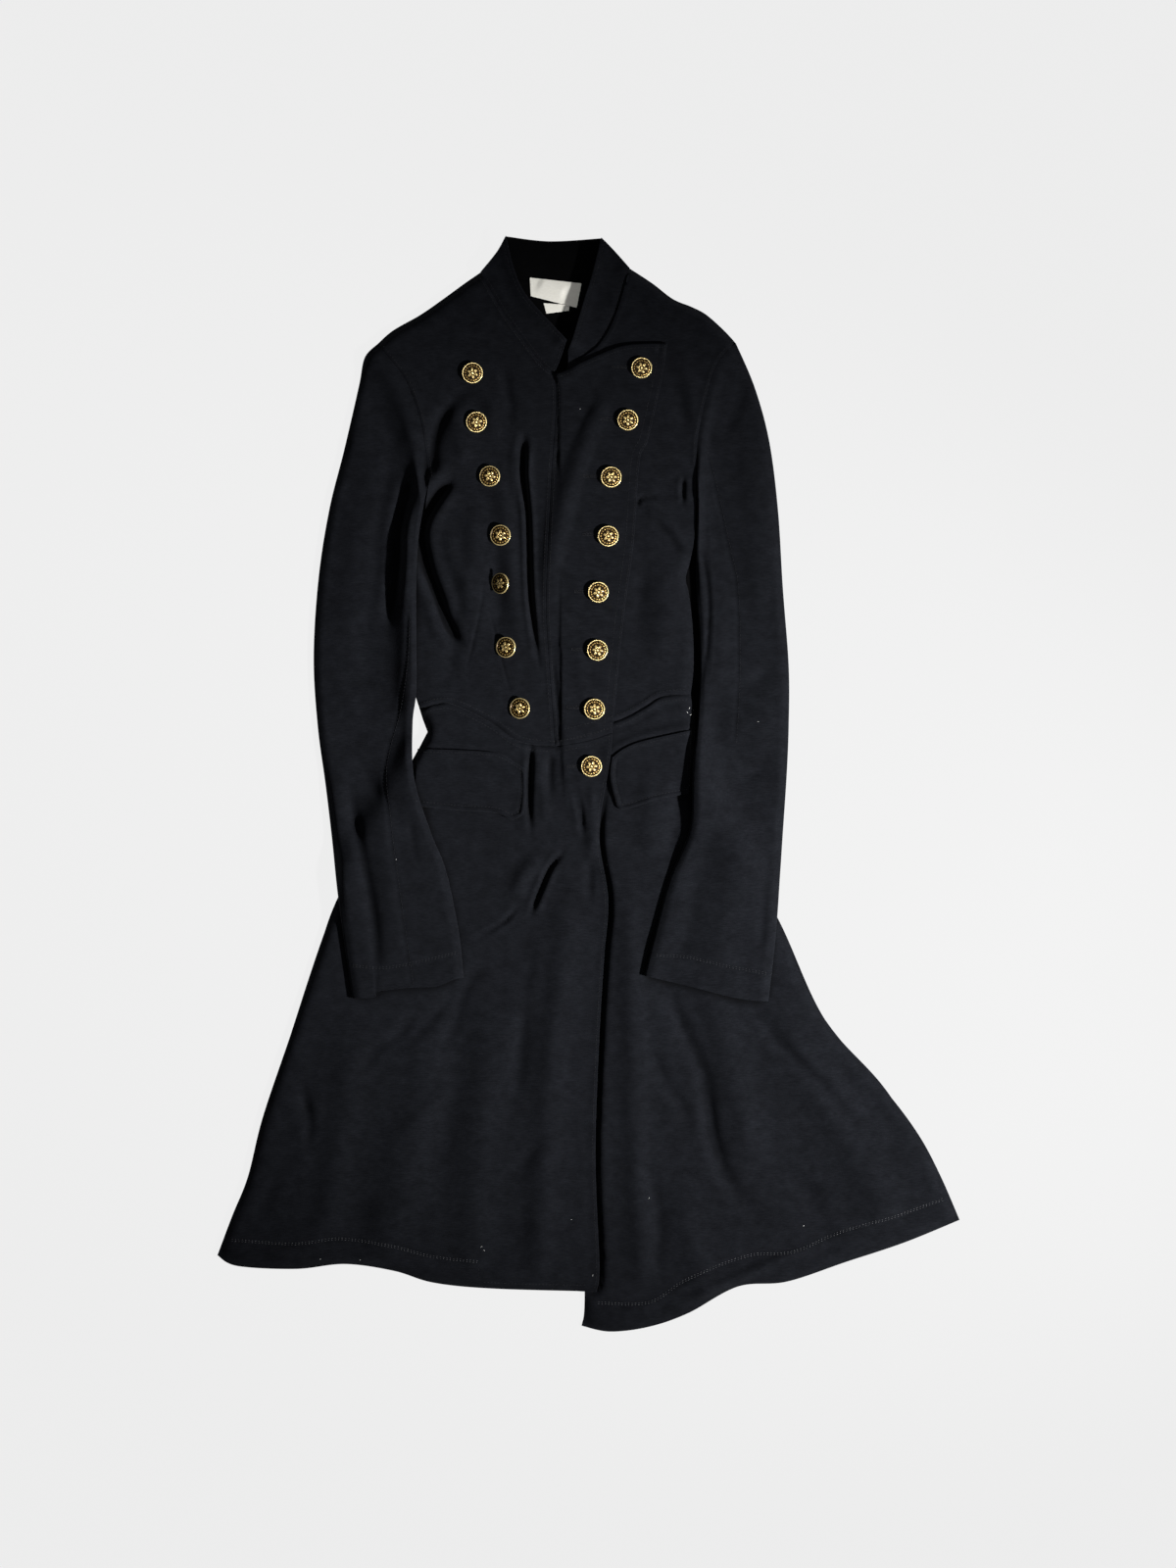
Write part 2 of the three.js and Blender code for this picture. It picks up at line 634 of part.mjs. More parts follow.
// Woven label with a size tab, sewn inside the back neck
panel(
  "label",
  patch(
    along(points([-60, 516], [-7, 510]), 4),
    along(points([-59, 497], [-12, 485]), 4),
    along(points([-60, 516], [-59, 497]), 2),
    along(points([-7, 510], [-12, 485]), 2),
  ),
  { on: ["back_bodice", "collar_back"], reach: LABEL_REACH, thickness: LABEL_CLOTH, material: CREAM },
);
panel(
  "size_tab",
  patch(
    along(points([-46, 490], [-19, 488]), 2),
    along(points([-43, 479], [-20, 482]), 2),
    along(points([-46, 490], [-43, 479]), 2),
    along(points([-19, 488], [-20, 482]), 2),
  ),
  { on: ["back_bodice", "label"], reach: LABEL_REACH, thickness: LABEL_CLOTH, material: CREAM },
);

// Buttons: each sits square on the cloth below it
function buttonGeometry() {
  const shell = SHANK_LENGTH + BUTTON_EDGE;
  const profile = [
    // columns: radius, height
    [0, 0],
    [SHANK_RADIUS, 0],
    [SHANK_RADIUS, SHANK_LENGTH],
    [BUTTON_RADIUS - BUTTON_CURL, SHANK_LENGTH],
    [BUTTON_RADIUS, SHANK_LENGTH + BUTTON_CURL],
    [BUTTON_RADIUS - BUTTON_RIM / 3, shell],
    [BUTTON_RADIUS - BUTTON_RIM, shell - BUTTON_RECESS],
    [BUTTON_RADIUS / 2, shell + BUTTON_DOME * 0.7],
    [0, shell + BUTTON_DOME],
  ];
  const lathe = new THREE.LatheGeometry(profile.map(([r, z]) => new THREE.Vector2(r, z)), BUTTON_SIDES);
  return lathe.rotateX(Math.PI / 2);
}

const SEAT_RINGS = 4; // places probed below a button
const SEAT_SPOKES = 16;
const SLOPE_PROBE = 0.8 * BUTTON_RADIUS;
const ABOVE = 200; // rays start this high
const ray = new THREE.Raycaster();
const down = new THREE.Vector3(0, 0, -1);

function clothHeight(x, y, meshes) {
  ray.set(new THREE.Vector3(x, y, ABOVE), down);
  const hit = ray.intersectObjects(meshes)[0];
  return hit ? hit.point.z : 0;
}

function seatButton(name, { x, y, lean }, meshes) {
  const rise = (dx, dy) => clothHeight(x + dx, y + dy, meshes) - clothHeight(x - dx, y - dy, meshes);
  const normal = new THREE.Vector3(-rise(SLOPE_PROBE, 0), -rise(0, SLOPE_PROBE), 2 * SLOPE_PROBE).normalize();
  normal.applyAxisAngle(new THREE.Vector3(0, 1, 0), THREE.MathUtils.degToRad(-lean));
  const turn = new THREE.Quaternion().setFromUnitVectors(new THREE.Vector3(0, 0, 1), normal);
  // Lowest height at which nothing on the back of the button meets the cloth
  let base = clothHeight(x, y, meshes);
  for (let ring = 1; ring <= SEAT_RINGS; ring += 1)
    for (let spoke = 0; spoke < SEAT_SPOKES; spoke += 1) {
      const radius = (ring / SEAT_RINGS) * BUTTON_RADIUS;
      const angle = (spoke / SEAT_SPOKES) * 2 * Math.PI;
      const back = radius > SHANK_RADIUS ? SHANK_LENGTH : 0;
      const place = new THREE.Vector3(radius * Math.cos(angle), radius * Math.sin(angle), back);
      place.applyQuaternion(turn);
      base = Math.max(base, clothHeight(x + place.x, y + place.y, meshes) - place.z);
    }
  const mesh = add(name, buttonGeometry(), GILT);
  mesh.position.set(x, y, base + SEAM_GAP);
  mesh.quaternion.copy(turn);
}

coat.updateMatrixWorld(true);
const fronts = coat.children.filter((mesh) => /^(bodice|front|skirt)/.test(mesh.name));
for (const [side, places] of Object.entries(buttonPlaces))
  places.forEach((place, k) => seatButton(`button_${side}_${k + 1}`, place, fronts));

export default coat;
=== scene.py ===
# A double-breasted military coat laid out flat on its back, with its cloth, sewing and buttons.
# Tables are in millimetres: +X is the wearer's left, +Y runs from hem to collar, +Z is up.
import math
from collections import namedtuple
from functools import partial

import bpy
import numpy as np
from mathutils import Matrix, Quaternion, Vector
from mathutils.bvhtree import BVHTree


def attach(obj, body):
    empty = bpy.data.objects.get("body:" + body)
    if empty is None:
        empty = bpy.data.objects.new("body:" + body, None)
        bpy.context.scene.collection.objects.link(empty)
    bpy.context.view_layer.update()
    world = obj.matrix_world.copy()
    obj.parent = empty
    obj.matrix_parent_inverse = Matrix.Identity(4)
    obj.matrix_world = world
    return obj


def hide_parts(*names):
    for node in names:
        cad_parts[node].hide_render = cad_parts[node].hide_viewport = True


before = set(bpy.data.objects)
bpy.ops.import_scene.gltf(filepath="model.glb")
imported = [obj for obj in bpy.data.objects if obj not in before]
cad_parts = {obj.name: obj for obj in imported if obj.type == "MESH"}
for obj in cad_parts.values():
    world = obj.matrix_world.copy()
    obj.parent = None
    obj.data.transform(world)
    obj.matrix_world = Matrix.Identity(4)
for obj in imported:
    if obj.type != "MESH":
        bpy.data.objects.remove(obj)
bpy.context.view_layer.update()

# Driving dimensions
MM = 0.001
CLOTH = 2.0
PLY = 0.35  # clear space between two layers
STEP = 1.9  # spacing of a panel's points
SKIRT_STEP = 3.1
UNDER_STEP = 2.3
BACK_STEP = 7.0
SLEEVE_STEP = 3.0
FINE_STEP = 1.35
RIM = (0.12, 0.32, 0.62)  # extra points in the outermost cells of a grid, as shares of a cell
EDGE_SHARPNESS = 2.5  # thickness over the width that an edge's rounding takes
BODICE_PUFF = 8.0  # how far a front stands off the back
SKIRT_PUFF = 5.5
SLEEVE_FOLD = 2.5  # radius of the fold along each side of a sleeve
SLEEVE_PUFF = 3.4
SLEEVE_ROUND = 9  # width over which a sleeve rises from its side folds
SLEEVE_SEWN = 34  # how far down a sleeve its head follows the front
HEAD_SHARE = 0.8  # the part of the head's width that does so
HEM_DEPTH = 14
PUCKER_PITCH = 15
BUTTON_RADIUS = 10.6
RIM_INSIDE = 9.1  # radius inside a button's plain rim
SHELL_BACK = 1.5  # a button's shell stands this far off the cloth on its shank
SHANK_RADIUS = 3.0
PETALS = 6
PETAL_REACH = 6.4
BEADS = 18
BEAD_RING = 7.6  # radius of the ring that the beads lie on
BUTTON_SIDES = 66
COLLAR_LOW = 7.0  # how high the collar's fronts lie at the neck seam
COLLAR_RISE = 5.5  # how much higher they lie at the neck opening
TAPE_PLY = 1.0
THREAD_SIDES = 5
PAINTED_CREASE_SHADE = 0.85  # how far painted shade darkens the cloth's colour in the deepest creases
FLOOR_HALF = 15000
FLOOR_LEVEL = -0.4
FLOOR_GLOW = 0.84

# Height rasters
CELL = 1.0
FIELD_LEFT, FIELD_BOTTOM = -410, -590
FIELD_SHAPE = (1180, 820)

# Seam and edge lines. Columns: x, y
SHOULDER_R = [(-215, 448), (-199, 462), (-171, 478), (-148, 494), (-126, 510), (-110, 521)]
SHOULDER_L = [(42, 525), (65, 510), (86, 494), (105, 486), (120, 478), (138, 462), (150, 449)]
ARMHOLE_R = [(-215, 448), (-200, 430), (-185, 409), (-170, 366), (-162, 310)]
ARMHOLE_L = [(150, 449), (131, 428), (119, 390), (111, 350), (110, 322)]
SIDE_R = [(-162, 310), (-165, 290), (-168, 272), (-176, 240), (-178, 180), (-179, 110), (-172, 76)]
SIDE_L = [
    (110, 322), (109, 270), (107, 245), (103, 225), (99, 209), (102, 195), (106, 160), (107, 120),
    (104, 91),
]
BACK_ARMHOLE_R = [(-215, 448), (-200, 430), (-187, 409), (-180, 366), (-181, 310)]
BACK_ARMHOLE_L = [(150, 449), (133, 428), (124, 390), (119, 350), (118, 322)]
BACK_SIDE_L = [(118, 322), (120, 300), (123, 240), (127, 160), (122, 95), (116, 55)]
BACK_SIDE_R = [(-181, 310), (-187, 275), (-187, 210), (-183, 120), (-172, 76), (-164, 53)]
BACK_NECK = [(-110, 521), (-60, 513), (-10, 511), (42, 525)]
NECK_R = [(-110, 521), (-88, 482), (-65, 450), (-48, 428), (-35, 417)]
NECK_L = [(42, 525), (28, 478), (13, 450), (-2, 437), (-21, 424)]
CENTRE_FRONT = [(-35, 417), (-33, 387), (-38, 310), (-43, 199), (-42, 150), (-34, 38)]
OVERLAP_TOP = [(-35, 417), (-22, 421), (0, 432), (37, 446), (80, 448)]
OVERLAP_EDGE = [(80, 448), (75, 414), (61, 352), (52, 328), (46, 247), (36, 170), (27, 82), (24, 52)]
UNDERLAP = [(-28, 414), (-27, 230), (-26, 50)]
WAIST_R = [(-172, 76), (-155, 81), (-138, 81), (-100, 63), (-70, 43), (-34, 38)]
WAIST_CENTRE = [(-34, 38), (0, 44), (24, 52)]
WAIST_L = [(-26, 50), (28, 64), (56, 78), (75, 89), (104, 91)]
WAIST_BACK = [(-164, 53), (116, 55)]
SWEEP_R = [
    (-172, 76), (-164, 53), (-178, 27), (-204, -23), (-255, -115), (-278, -180),
    (-305, -260), (-332, -340), (-347, -400), (-363, -440), (-378, -480),
]
SWEEP_L = [
    (104, 91), (108, 63), (110, 25), (130, -30), (160, -85), (192, -135), (218, -200),
    (241, -240), (273, -280), (309, -320), (338, -360), (359, -400), (378, -444),
]
BACK_SWEEP_R = [(-164, 53), (-204, -23), (-255, -115), (-305, -260), (-347, -400), (-374, -477)]
BACK_SWEEP_L = [(116, 55), (130, -30), (192, -135), (241, -240), (309, -320), (374, -441)]
HEM_R = [
    (-378, -480), (-358, -491), (-298, -494), (-248, -489), (-198, -496), (-158, -508), (-98, -514),
    (8, -517),
]
HEM_L = [
    (-7, -552), (22, -558), (62, -553), (102, -539), (152, -512), (202, -507), (262, -487),
    (322, -467), (378, -444),
]
HEM_BACK = [
    (-374, -477), (-298, -489), (-248, -484), (-158, -502), (0, -511), (110, -512), (180, -502),
    (262, -482), (374, -441),
]
OPENING = [
    (24, 52), (22, 24), (11, -51), (20, -117), (16, -175), (11, -257), (7, -378), (11, -491),
    (8, -517),
]
UNDERLAP_SKIRT = [(-26, 50), (-18, -100), (-10, -300), (-4, -510), (-7, -552)]
COLLAR_FOLD_R = [(-84, 558), (-93, 542), (-110, 521)]
COLLAR_FOLD_L = [(13, 556), (26, 543), (42, 525)]
COLLAR_TOP = [(-84, 558), (-40, 553), (13, 556)]
COLLAR_OPEN_R = [(-84, 558), (-76, 525), (-65, 500), (-44, 475), (-22, 452)]
COLLAR_OPEN_L = [(13, 556), (4, 520), (-6, 488), (-16, 454), (-21, 441)]
COLLAR_END_R = [(-22, 452), (-28, 434), (-35, 417)]
COLLAR_END_L = [(-21, 441), (-21, 424)]
FLAP_TOP_R = [(-174, 36), (-118, 34), (-89, 30), (-64, 15)]
FLAP_BOTTOM_R = [(-178, -22), (-130, -27), (-96, -29), (-78, -36), (-66, -31)]
FLAP_OUTER_R = [(-174, 36), (-178, -22)]
FLAP_INNER_R = [(-64, 15), (-63, -8), (-66, -31)]
FLAP_TOP_L = [(24, 27), (36, 36), (56, 44), (105, 55)]
FLAP_BOTTOM_L = [(29, -23), (38, -26), (70, -16), (102, -10)]
FLAP_INNER_L = [(24, 27), (22, 5), (29, -23)]
FLAP_OUTER_L = [(105, 55), (102, -10)]
LABEL_TOP = [(-60, 516), (-7, 510)]
LABEL_BOTTOM = [(-59, 497), (-12, 485)]
LABEL_ENDS = list(zip(LABEL_TOP, LABEL_BOTTOM))
TAB_TOP = [(-46, 490), (-19, 488)]
TAB_BOTTOM = [(-43, 479), (-20, 482)]
TAB_ENDS = list(zip(TAB_TOP, TAB_BOTTOM))
CUFF_R = [(-240, -218), (-218, -217), (-213, -211), (-179, -207), (-155, -206), (-137, -199), (-127, -197)]
CUFF_L = [(183, -221), (152, -218), (100, -205), (57, -195)]
SLEEVE_OUTER_R = [
    (-215, 448), (-228, 434), (-234, 405), (-249, 340), (-264, 280), (-275, 210), (-280, 130),
    (-276, 60), (-268, 0), (-262, -50), (-256, -105), (-248, -165), (-240, -218),
]
SLEEVE_INNER_R = [
    (-162, 310), (-165, 296), (-168, 280), (-173, 248), (-175, 205), (-175, 150), (-175, 95),
    (-179, 60), (-177, 5), (-160, -50), (-145, -88), (-132, -150), (-127, -197),
]
SLEEVE_OUTER_L = [
    (150, 449), (169, 405), (184, 350), (193, 280), (198, 200), (204, 120),
    (204, 60), (202, 10), (198, -50), (195, -95), (190, -160), (183, -221),
]
SLEEVE_INNER_L = [
    (110, 322), (111, 286), (110, 245), (110, 200), (113, 155), (114, 118), (113, 95),
    (111, 60), (106, 15), (103, -45), (82, -98), (67, -155), (57, -195),
]

# Seams on the upper side of each sleeve, and stitch lines at the hems. Columns: x, y
SLEEVE_SEAM_R = [
    (-184, 175), (-186, 126), (-193, 78), (-203, 41), (-208, 10), (-204, -31), (-198, -82),
    (-180, -207),
]
SLEEVE_SEAM_L = [(118, 338), (123, 325), (142, 240), (150, 199), (152, 120), (148, 40)]
HEM_STITCH_R = [(-365, -464), (-300, -468), (-253, -463), (-202, -470), (-159, -481), (-112, -486)]
FACING_STITCH = [(-111, -488), (-112, -497), (-111, -506)]
EDGE_STITCH = [(-109, -507), (-60, -509), (0, -510)]
HEM_STITCH_L = [
    (8, -528), (60, -528), (95, -507), (130, -491), (167, -479), (208, -476), (259, -455), (312, -440),
    (362, -422),
]
CUFF_STITCH_R = [(-242, -184), (-213, -187), (-183, -183), (-132, -171)]
CUFF_STITCH_L = [(67, -174), (100, -176), (140, -185), (184, -193)]

# Buttons. Columns: x, y, lean towards the wearer's right in degrees
BUTTONS = {
    "right": [
        (-118, 418, 0), (-114, 368, 0), (-100, 313, 4), (-89, 253, 5), (-88, 204, 24), (-83, 139, 18),
        (-69, 77, 18),
    ],
    "left": [
        (54, 423, 0), (40, 370, 0), (23, 312, 0), (20, 252, 0), (10, 195, 0), (9, 136, 0), (6, 76, 0),
        (3, 18, 0),
    ],
}

# Buttonholes. Columns: middle x, y, half length
BUTTONHOLES = [
    (32, 424, 8), (20, 371, 8), (3, 313, 8), (2, 254, 8), (-6, 196, 8), (-9, 137, 8), (-14, 78, 8),
    (-14, 18, 8),
]

# Specks of pale lint. Columns: x, y, and how far each fibre runs
LINT_FIBRES = [
    (172, 63, 1.6, 0.8), (61, -422, 0.9, 1.4), (218, -450, 1.8, 0.5), (-274, -484, 1.5, 0.9),
    (-233, -484, 1.2, -0.8),
    (-110, -471, 2.2, 0.6), (-107, -474, 1.6, -1.0), (-18, -444, 1.0, 1.2), (4, -501, 0.8, 1.5),
    (-175, 84, 1.2, 1.6),
    (-196, -77, 1.0, 0.8), (102, 76, 1.4, 2.4), (101, 72, -1.2, 1.8), (103, 70, 1.8, 0.9),
    (-9, 381, 1.1, 0.7),
]

# Folds. A swell is a soft ridge or, below zero, a soft trough; a crease is a narrow groove with raised lips.
# Columns: height, width, path, and how much of each end it takes to die away
Fold = namedtuple("Fold", "kind height width path fade", defaults=[(0.3, 0.3)])
swell = partial(Fold, "swell")
crease = partial(Fold, "crease")

BODICE_FOLDS = [
    crease(12.0, 5.2, [
        (-134, 311), (-152, 296), (-170, 262), (-166, 225), (-154, 190), (-141, 157), (-122, 137),
    ], (0.12, 0.2)),
    swell(4.5, 8, [(-134, 330), (-164, 306), (-180, 262)], (0.3, 0.1)),
    swell(3.0, 9, [(-146, 262), (-136, 226), (-116, 180)]),
    crease(6.5, 3.6, [(-64, 362), (-68, 335), (-68, 310), (-63, 275)], (0.3, 0.4)),
    crease(8.5, 2.4, [(-64, 350), (-66, 315), (-62, 270), (-60, 202), (-56, 160), (-48, 106)], (0.12, 0.4)),
    swell(3.2, 10, [(-84, 350), (-88, 310), (-82, 250), (-74, 180), (-64, 115)], (0.3, 0.4)),
    swell(-6.5, 7.5, [(-112, 412), (-142, 384), (-158, 350), (-161, 300)], (0.5, 0.3)),
    swell(-2.6, 6, [(-88, 430), (-82, 395), (-77, 358)]),
    swell(2.4, 8, [(-100, 400), (-98, 370), (-94, 345)]),
    swell(-2.2, 9, [(-92, 240), (-92, 190), (-90, 140)]),
    swell(3.0, 12, [(-112, 300), (-118, 220), (-122, 130)]),
    swell(3.0, 11, [(-140, 400), (-128, 340), (-132, 318)]),
    swell(-1.4, 5, [(-22, 372), (-30, 335), (-36, 306)]),
    swell(7.0, 13, [(24, 410), (-8, 335), (-27, 272), (-40, 205), (-38, 130)], (0.15, 0.4)),
    swell(-4.5, 9, [(4, 400), (-14, 378), (-24, 350)]),
    swell(-3.8, 8, [(28, 380), (8, 310), (-4, 240), (-14, 160)]),
    swell(-0.9, 1.8, [(-106, 209), (-109, 184), (-118, 142), (-126, 109)]),
    swell(-0.9, 1.8, [(-103, 184), (-92, 140), (-82, 102), (-77, 87)]),
    crease(1.4, 2.4, [(-38, 138), (-33, 90), (-30, 60)], (0.4, 0.3)),
    swell(3.0, 9, [(-14, 160), (-6, 100), (0, 60)]),
    swell(-2.0, 7, [(-130, 200), (-138, 150), (-140, 100)]),
]
BODICE_LEFT_FOLDS = [
    crease(3.4, 1.9, [(49, 284), (53, 290), (60, 292), (73, 291)], (0.1, 0.3)),
    swell(3.0, 6, [(55, 283), (78, 264), (99, 244)]),
    swell(-3.2, 5, [(62, 274), (82, 252), (98, 230)]),
    crease(4.0, 2.2, [(97, 314), (96, 298), (97, 284)]),
    swell(3.0, 14, [(72, 230), (78, 180), (70, 110)]),
    swell(-2.6, 8, [(84, 415), (96, 385), (99, 350)]),
    swell(2.6, 10, [(92, 440), (104, 400), (104, 350)]),
    swell(-2.0, 9, [(58, 240), (52, 190), (50, 140)]),
]
SKIRT_RIGHT_FOLDS = [
    crease(4.6, 2.6, [(-58, 46), (-60, 4), (-60, -30), (-57, -60)], (0.2, 0.4)),
    swell(2.6, 6, [(-50, 36), (-48, -6), (-42, -46)]),
    swell(-3.4, 4.4, [(-38, 36), (-40, 12), (-38, -14)]),
    crease(6.0, 2.3, [(-20, 40), (-14, -4), (-8, -30), (-5, -60)], (0.15, 0.4)),
    swell(3.0, 6, [(2, 10), (4, -40), (2, -90)]),
    swell(-2.8, 4.4, [(0, -74), (1, -98), (-1, -130)], (0.3, 0.5)),
    crease(6.5, 2.4, [(-21, -64), (-31, -75), (-40, -87), (-50, -110), (-61, -138)], (0.35, 0.3)),
    swell(4.0, 8, [(-44, -72), (-66, -92), (-76, -118)]),
    crease(3.0, 2.0, [(-68, -120), (-84, -138), (-103, -150), (-126, -161)], (0.3, 0.5)),
    swell(3.4, 10, [(-44, -140), (-60, -200), (-78, -260)]),
    swell(4.6, 15, [(-12, -60), (-24, -150), (-42, -330), (-52, -505)], (0.3, 0.05)),
    swell(-3.4, 8, [(-45, -140), (-66, -220), (-72, -300), (-90, -360)], (0.3, 0.4)),
    swell(-2.4, 7, [(-96, -170), (-124, -205), (-140, -250), (-172, -290)], (0.3, 0.4)),
    swell(-2.2, 6, [(-176, -226), (-190, -252), (-216, -270), (-236, -300)], (0.3, 0.4)),
    swell(2.2, 9, [(-130, -280), (-160, -330), (-206, -372)], (0.4, 0.4)),
    swell(-2.0, 8, [(-40, -330), (-60, -380), (-104, -410)], (0.4, 0.4)),
    swell(2.0, 8, [(-150, -410), (-190, -432), (-250, -436)], (0.4, 0.4)),
    swell(3.2, 16, [(-84, -200), (-108, -330), (-122, -500)], (0.4, 0.05)),
    swell(-3.0, 15, [(-118, -200), (-142, -320), (-158, -450)]),
    swell(3.2, 20, [(-150, -230), (-184, -360), (-208, -490)], (0.4, 0.05)),
    swell(-1.8, 5.5, [(-130, -200), (-150, -228), (-190, -270)]),
    swell(-3.4, 6.0, [(-294, -296), (-288, -325), (-284, -352), (-290, -384)], (0.4, 0.4)),
    swell(1.8, 10.0, [(-272, -288), (-282, -350), (-300, -408)], (0.4, 0.4)),
    swell(-1.6, 8.0, [(-314, -390), (-328, -420), (-340, -446)], (0.4, 0.4)),
    swell(3.6, 16, [(-236, -210), (-250, -330), (-270, -470)], (0.4, 0.1)),
    swell(-2.6, 16, [(-216, -420), (-244, -450), (-276, -470)]),
    swell(-2.6, 12, [(-104, -430), (-80, -452), (-50, -448)]),
]
SKIRT_LEFT_FOLDS = [
    swell(4.6, 13, [(40, -60), (44, -200), (48, -380), (58, -520)], (0.3, 0.1)),
    swell(-4.8, 8, [
        (72, -180), (92, -240), (118, -300), (126, -356), (146, -410), (190, -456),
    ], (0.25, 0.3)),
    swell(-2.6, 6, [(108, -290), (120, -330), (126, -366), (144, -400)], (0.4, 0.4)),
    swell(-2.6, 7, [(56, -250), (76, -300), (96, -330), (104, -372)], (0.4, 0.4)),
    swell(-2.4, 7, [(130, -372), (170, -392), (216, -404), (250, -430)], (0.4, 0.4)),
    swell(4.4, 16, [(112, -170), (146, -290), (172, -420)]),
    swell(-4.6, 8, [(160, -222), (194, -263), (234, -304), (275, -352), (310, -374)], (0.3, 0.4)),
    swell(-2.2, 6, [(206, -246), (232, -280), (262, -300), (280, -330)], (0.4, 0.4)),
    swell(5.4, 20, [(176, -200), (226, -290), (286, -400), (316, -455)], (0.3, 0.1)),
    swell(-3.0, 8, [(52, -370), (70, -437), (66, -518)]),
    swell(3.2, 14, [(92, -400), (106, -470), (118, -525)], (0.4, 0.05)),
    swell(-2.6, 12, [(200, -380), (226, -430), (250, -480)], (0.4, 0.1)),
    swell(-3.0, 12, [(240, -262), (286, -322), (330, -380)]),
    swell(-3.0, 9, [(96, 20), (90, -40), (76, -92)], (0.3, 0.35)),
    swell(3.0, 12, [(60, 20), (64, -30), (60, -80)]),
]
SLEEVE_RIGHT_FOLDS = [
    crease(7.5, 5.0, [(-178, 314), (-188, 290), (-195, 258), (-196, 225), (-206, 150)], (0.15, 0.3)),
    swell(4.4, 6.5, [(-176, 292), (-184, 255), (-185, 215), (-190, 150)], (0.2, 0.4)),
    swell(-4.0, 6.0, [(-248, 20), (-239, -31), (-226, -95), (-218, -146), (-215, -204)], (0.3, 0.2)),
    swell(2.6, 12, [(-258, 40), (-250, -50), (-240, -150)]),
    swell(2.4, 12, [(-212, 0), (-205, -90), (-194, -190)]),
    swell(-1.2, 4.0, [(-183, -31), (-179, -56), (-175, -82)]),
    swell(3.2, 18, [(-214, 350), (-236, 240), (-246, 120)]),
    swell(-2.0, 12, [(-230, 190), (-224, 120), (-222, 60)]),
    swell(-2.4, 9, [(-230, 400), (-208, 368), (-190, 340)]),
    swell(2.2, 8, [(-246, 352), (-222, 330), (-200, 322)]),
    swell(-2.0, 8, [(-256, 296), (-236, 286), (-216, 280)]),
    swell(2.0, 9, [(-266, 108), (-240, 92), (-206, 96)]),
    swell(-2.2, 8, [(-246, 30), (-226, 10), (-206, -30)]),
    crease(0.9, 1.6, [(-216, -186), (-216, -200), (-216, -214)], (0.1, 0.1)),
]
SLEEVE_LEFT_FOLDS = [
    crease(1.8, 2.4, [(112, 252), (121, 200), (121, 150), (114, 92)], (0.25, 0.3)),
    swell(3.2, 16, [(158, 380), (172, 270), (176, 150)]),
    swell(2.6, 9, [(132, 240), (136, 160), (132, 80)]),
    swell(-2.0, 9, [(190, 130), (170, 104), (140, 96)]),
    swell(2.4, 12, [(190, 76), (164, 60), (128, 58)]),
    swell(-2.2, 10, [(188, 24), (156, 4), (122, 2)]),
    swell(2.8, 16, [(162, -20), (146, -110), (128, -190)], (0.3, 0.1)),
    swell(-2.0, 10, [(126, -40), (108, -110), (92, -180)], (0.3, 0.1)),
    swell(-2.2, 9, [(160, 420), (148, 380), (134, 350)]),
    swell(-1.6, 5.0, [(186, -60), (178, -120), (174, -190)]),
]

# Where a sleeve stands off the skirt below it
SLEEVE_LIFTS = [swell(5.5, 26, [(128, 60), (118, 0), (108, -60)], (0.3, 0.4))]
LABEL_FOLDS = [
    swell(1.5, 8, [(-52, 512), (-40, 506), (-22, 500)], (0.2, 0.2)),
    swell(0.7, 6, [(-20, 512), (-16, 498), (-15, 488)], (0.2, 0.2)),
]

# Low relief along a seam, a stitched edge or a fold. Columns: line, how far to its left, height, width
SEAM_RELIEF_RIGHT = [
    (WAIST_R, 3.6, 1.5, 2.0), (WAIST_R, -3.6, 1.4, 2.0), (WAIST_R, 0, -1.4, 1.4),
    (WAIST_CENTRE, 3.6, 1.3, 2.0), (WAIST_CENTRE, -3.6, 1.3, 2.0), (WAIST_CENTRE, 0, -1.2, 1.4),
    (CENTRE_FRONT, 2.6, 0.3, 2.0), (CENTRE_FRONT, -2.6, 0.3, 2.0), (FLAP_TOP_R, 5.0, 1.7, 3.5),
    (OVERLAP_EDGE, -3.0, 1.2, 2.4), (OVERLAP_EDGE, -8.5, -1.0, 1.5), (OVERLAP_EDGE, -11.5, 0.7, 2.0),
    (OVERLAP_TOP, -4.0, 5.0, 8.0), (OVERLAP_TOP, -5.0, -0.7, 1.4),
    (OPENING, -3.0, 0.6, 2.6), (ARMHOLE_R, 3.2, 0.6, 2.2), (NECK_R, -3.0, 0.6, 2.0),
]
SEAM_RELIEF_LEFT = [
    (WAIST_L, 3.6, 1.6, 2.0), (WAIST_L, -3.6, 1.5, 2.0), (WAIST_L, 0, -1.4, 1.4),
    (WAIST_L, -8.5, -1.2, 1.6),
    (ARMHOLE_L, -3.2, 0.6, 2.2), (NECK_L, 3.0, 0.6, 2.0), (FLAP_TOP_L, 5.0, 2.4, 3.5),
]
FLAP_RELIEF = [
    (FLAP_BOTTOM_R, 2.2, 1.1, 1.8), (FLAP_BOTTOM_R, 5.0, -0.7, 1.4), (FLAP_INNER_R, -2.2, 1.1, 1.8),
    (FLAP_INNER_R, -5.0, -0.7, 1.4), (FLAP_TOP_R, -3.0, 0.8, 2.0), (FLAP_BOTTOM_L, 2.2, 1.1, 1.8),
    (FLAP_BOTTOM_L, 5.0, -0.7, 1.4), (FLAP_INNER_L, 2.2, 1.1, 1.8), (FLAP_INNER_L, 5.0, -0.7, 1.4),
    (FLAP_TOP_L, -3.0, 0.6, 2.0),
]


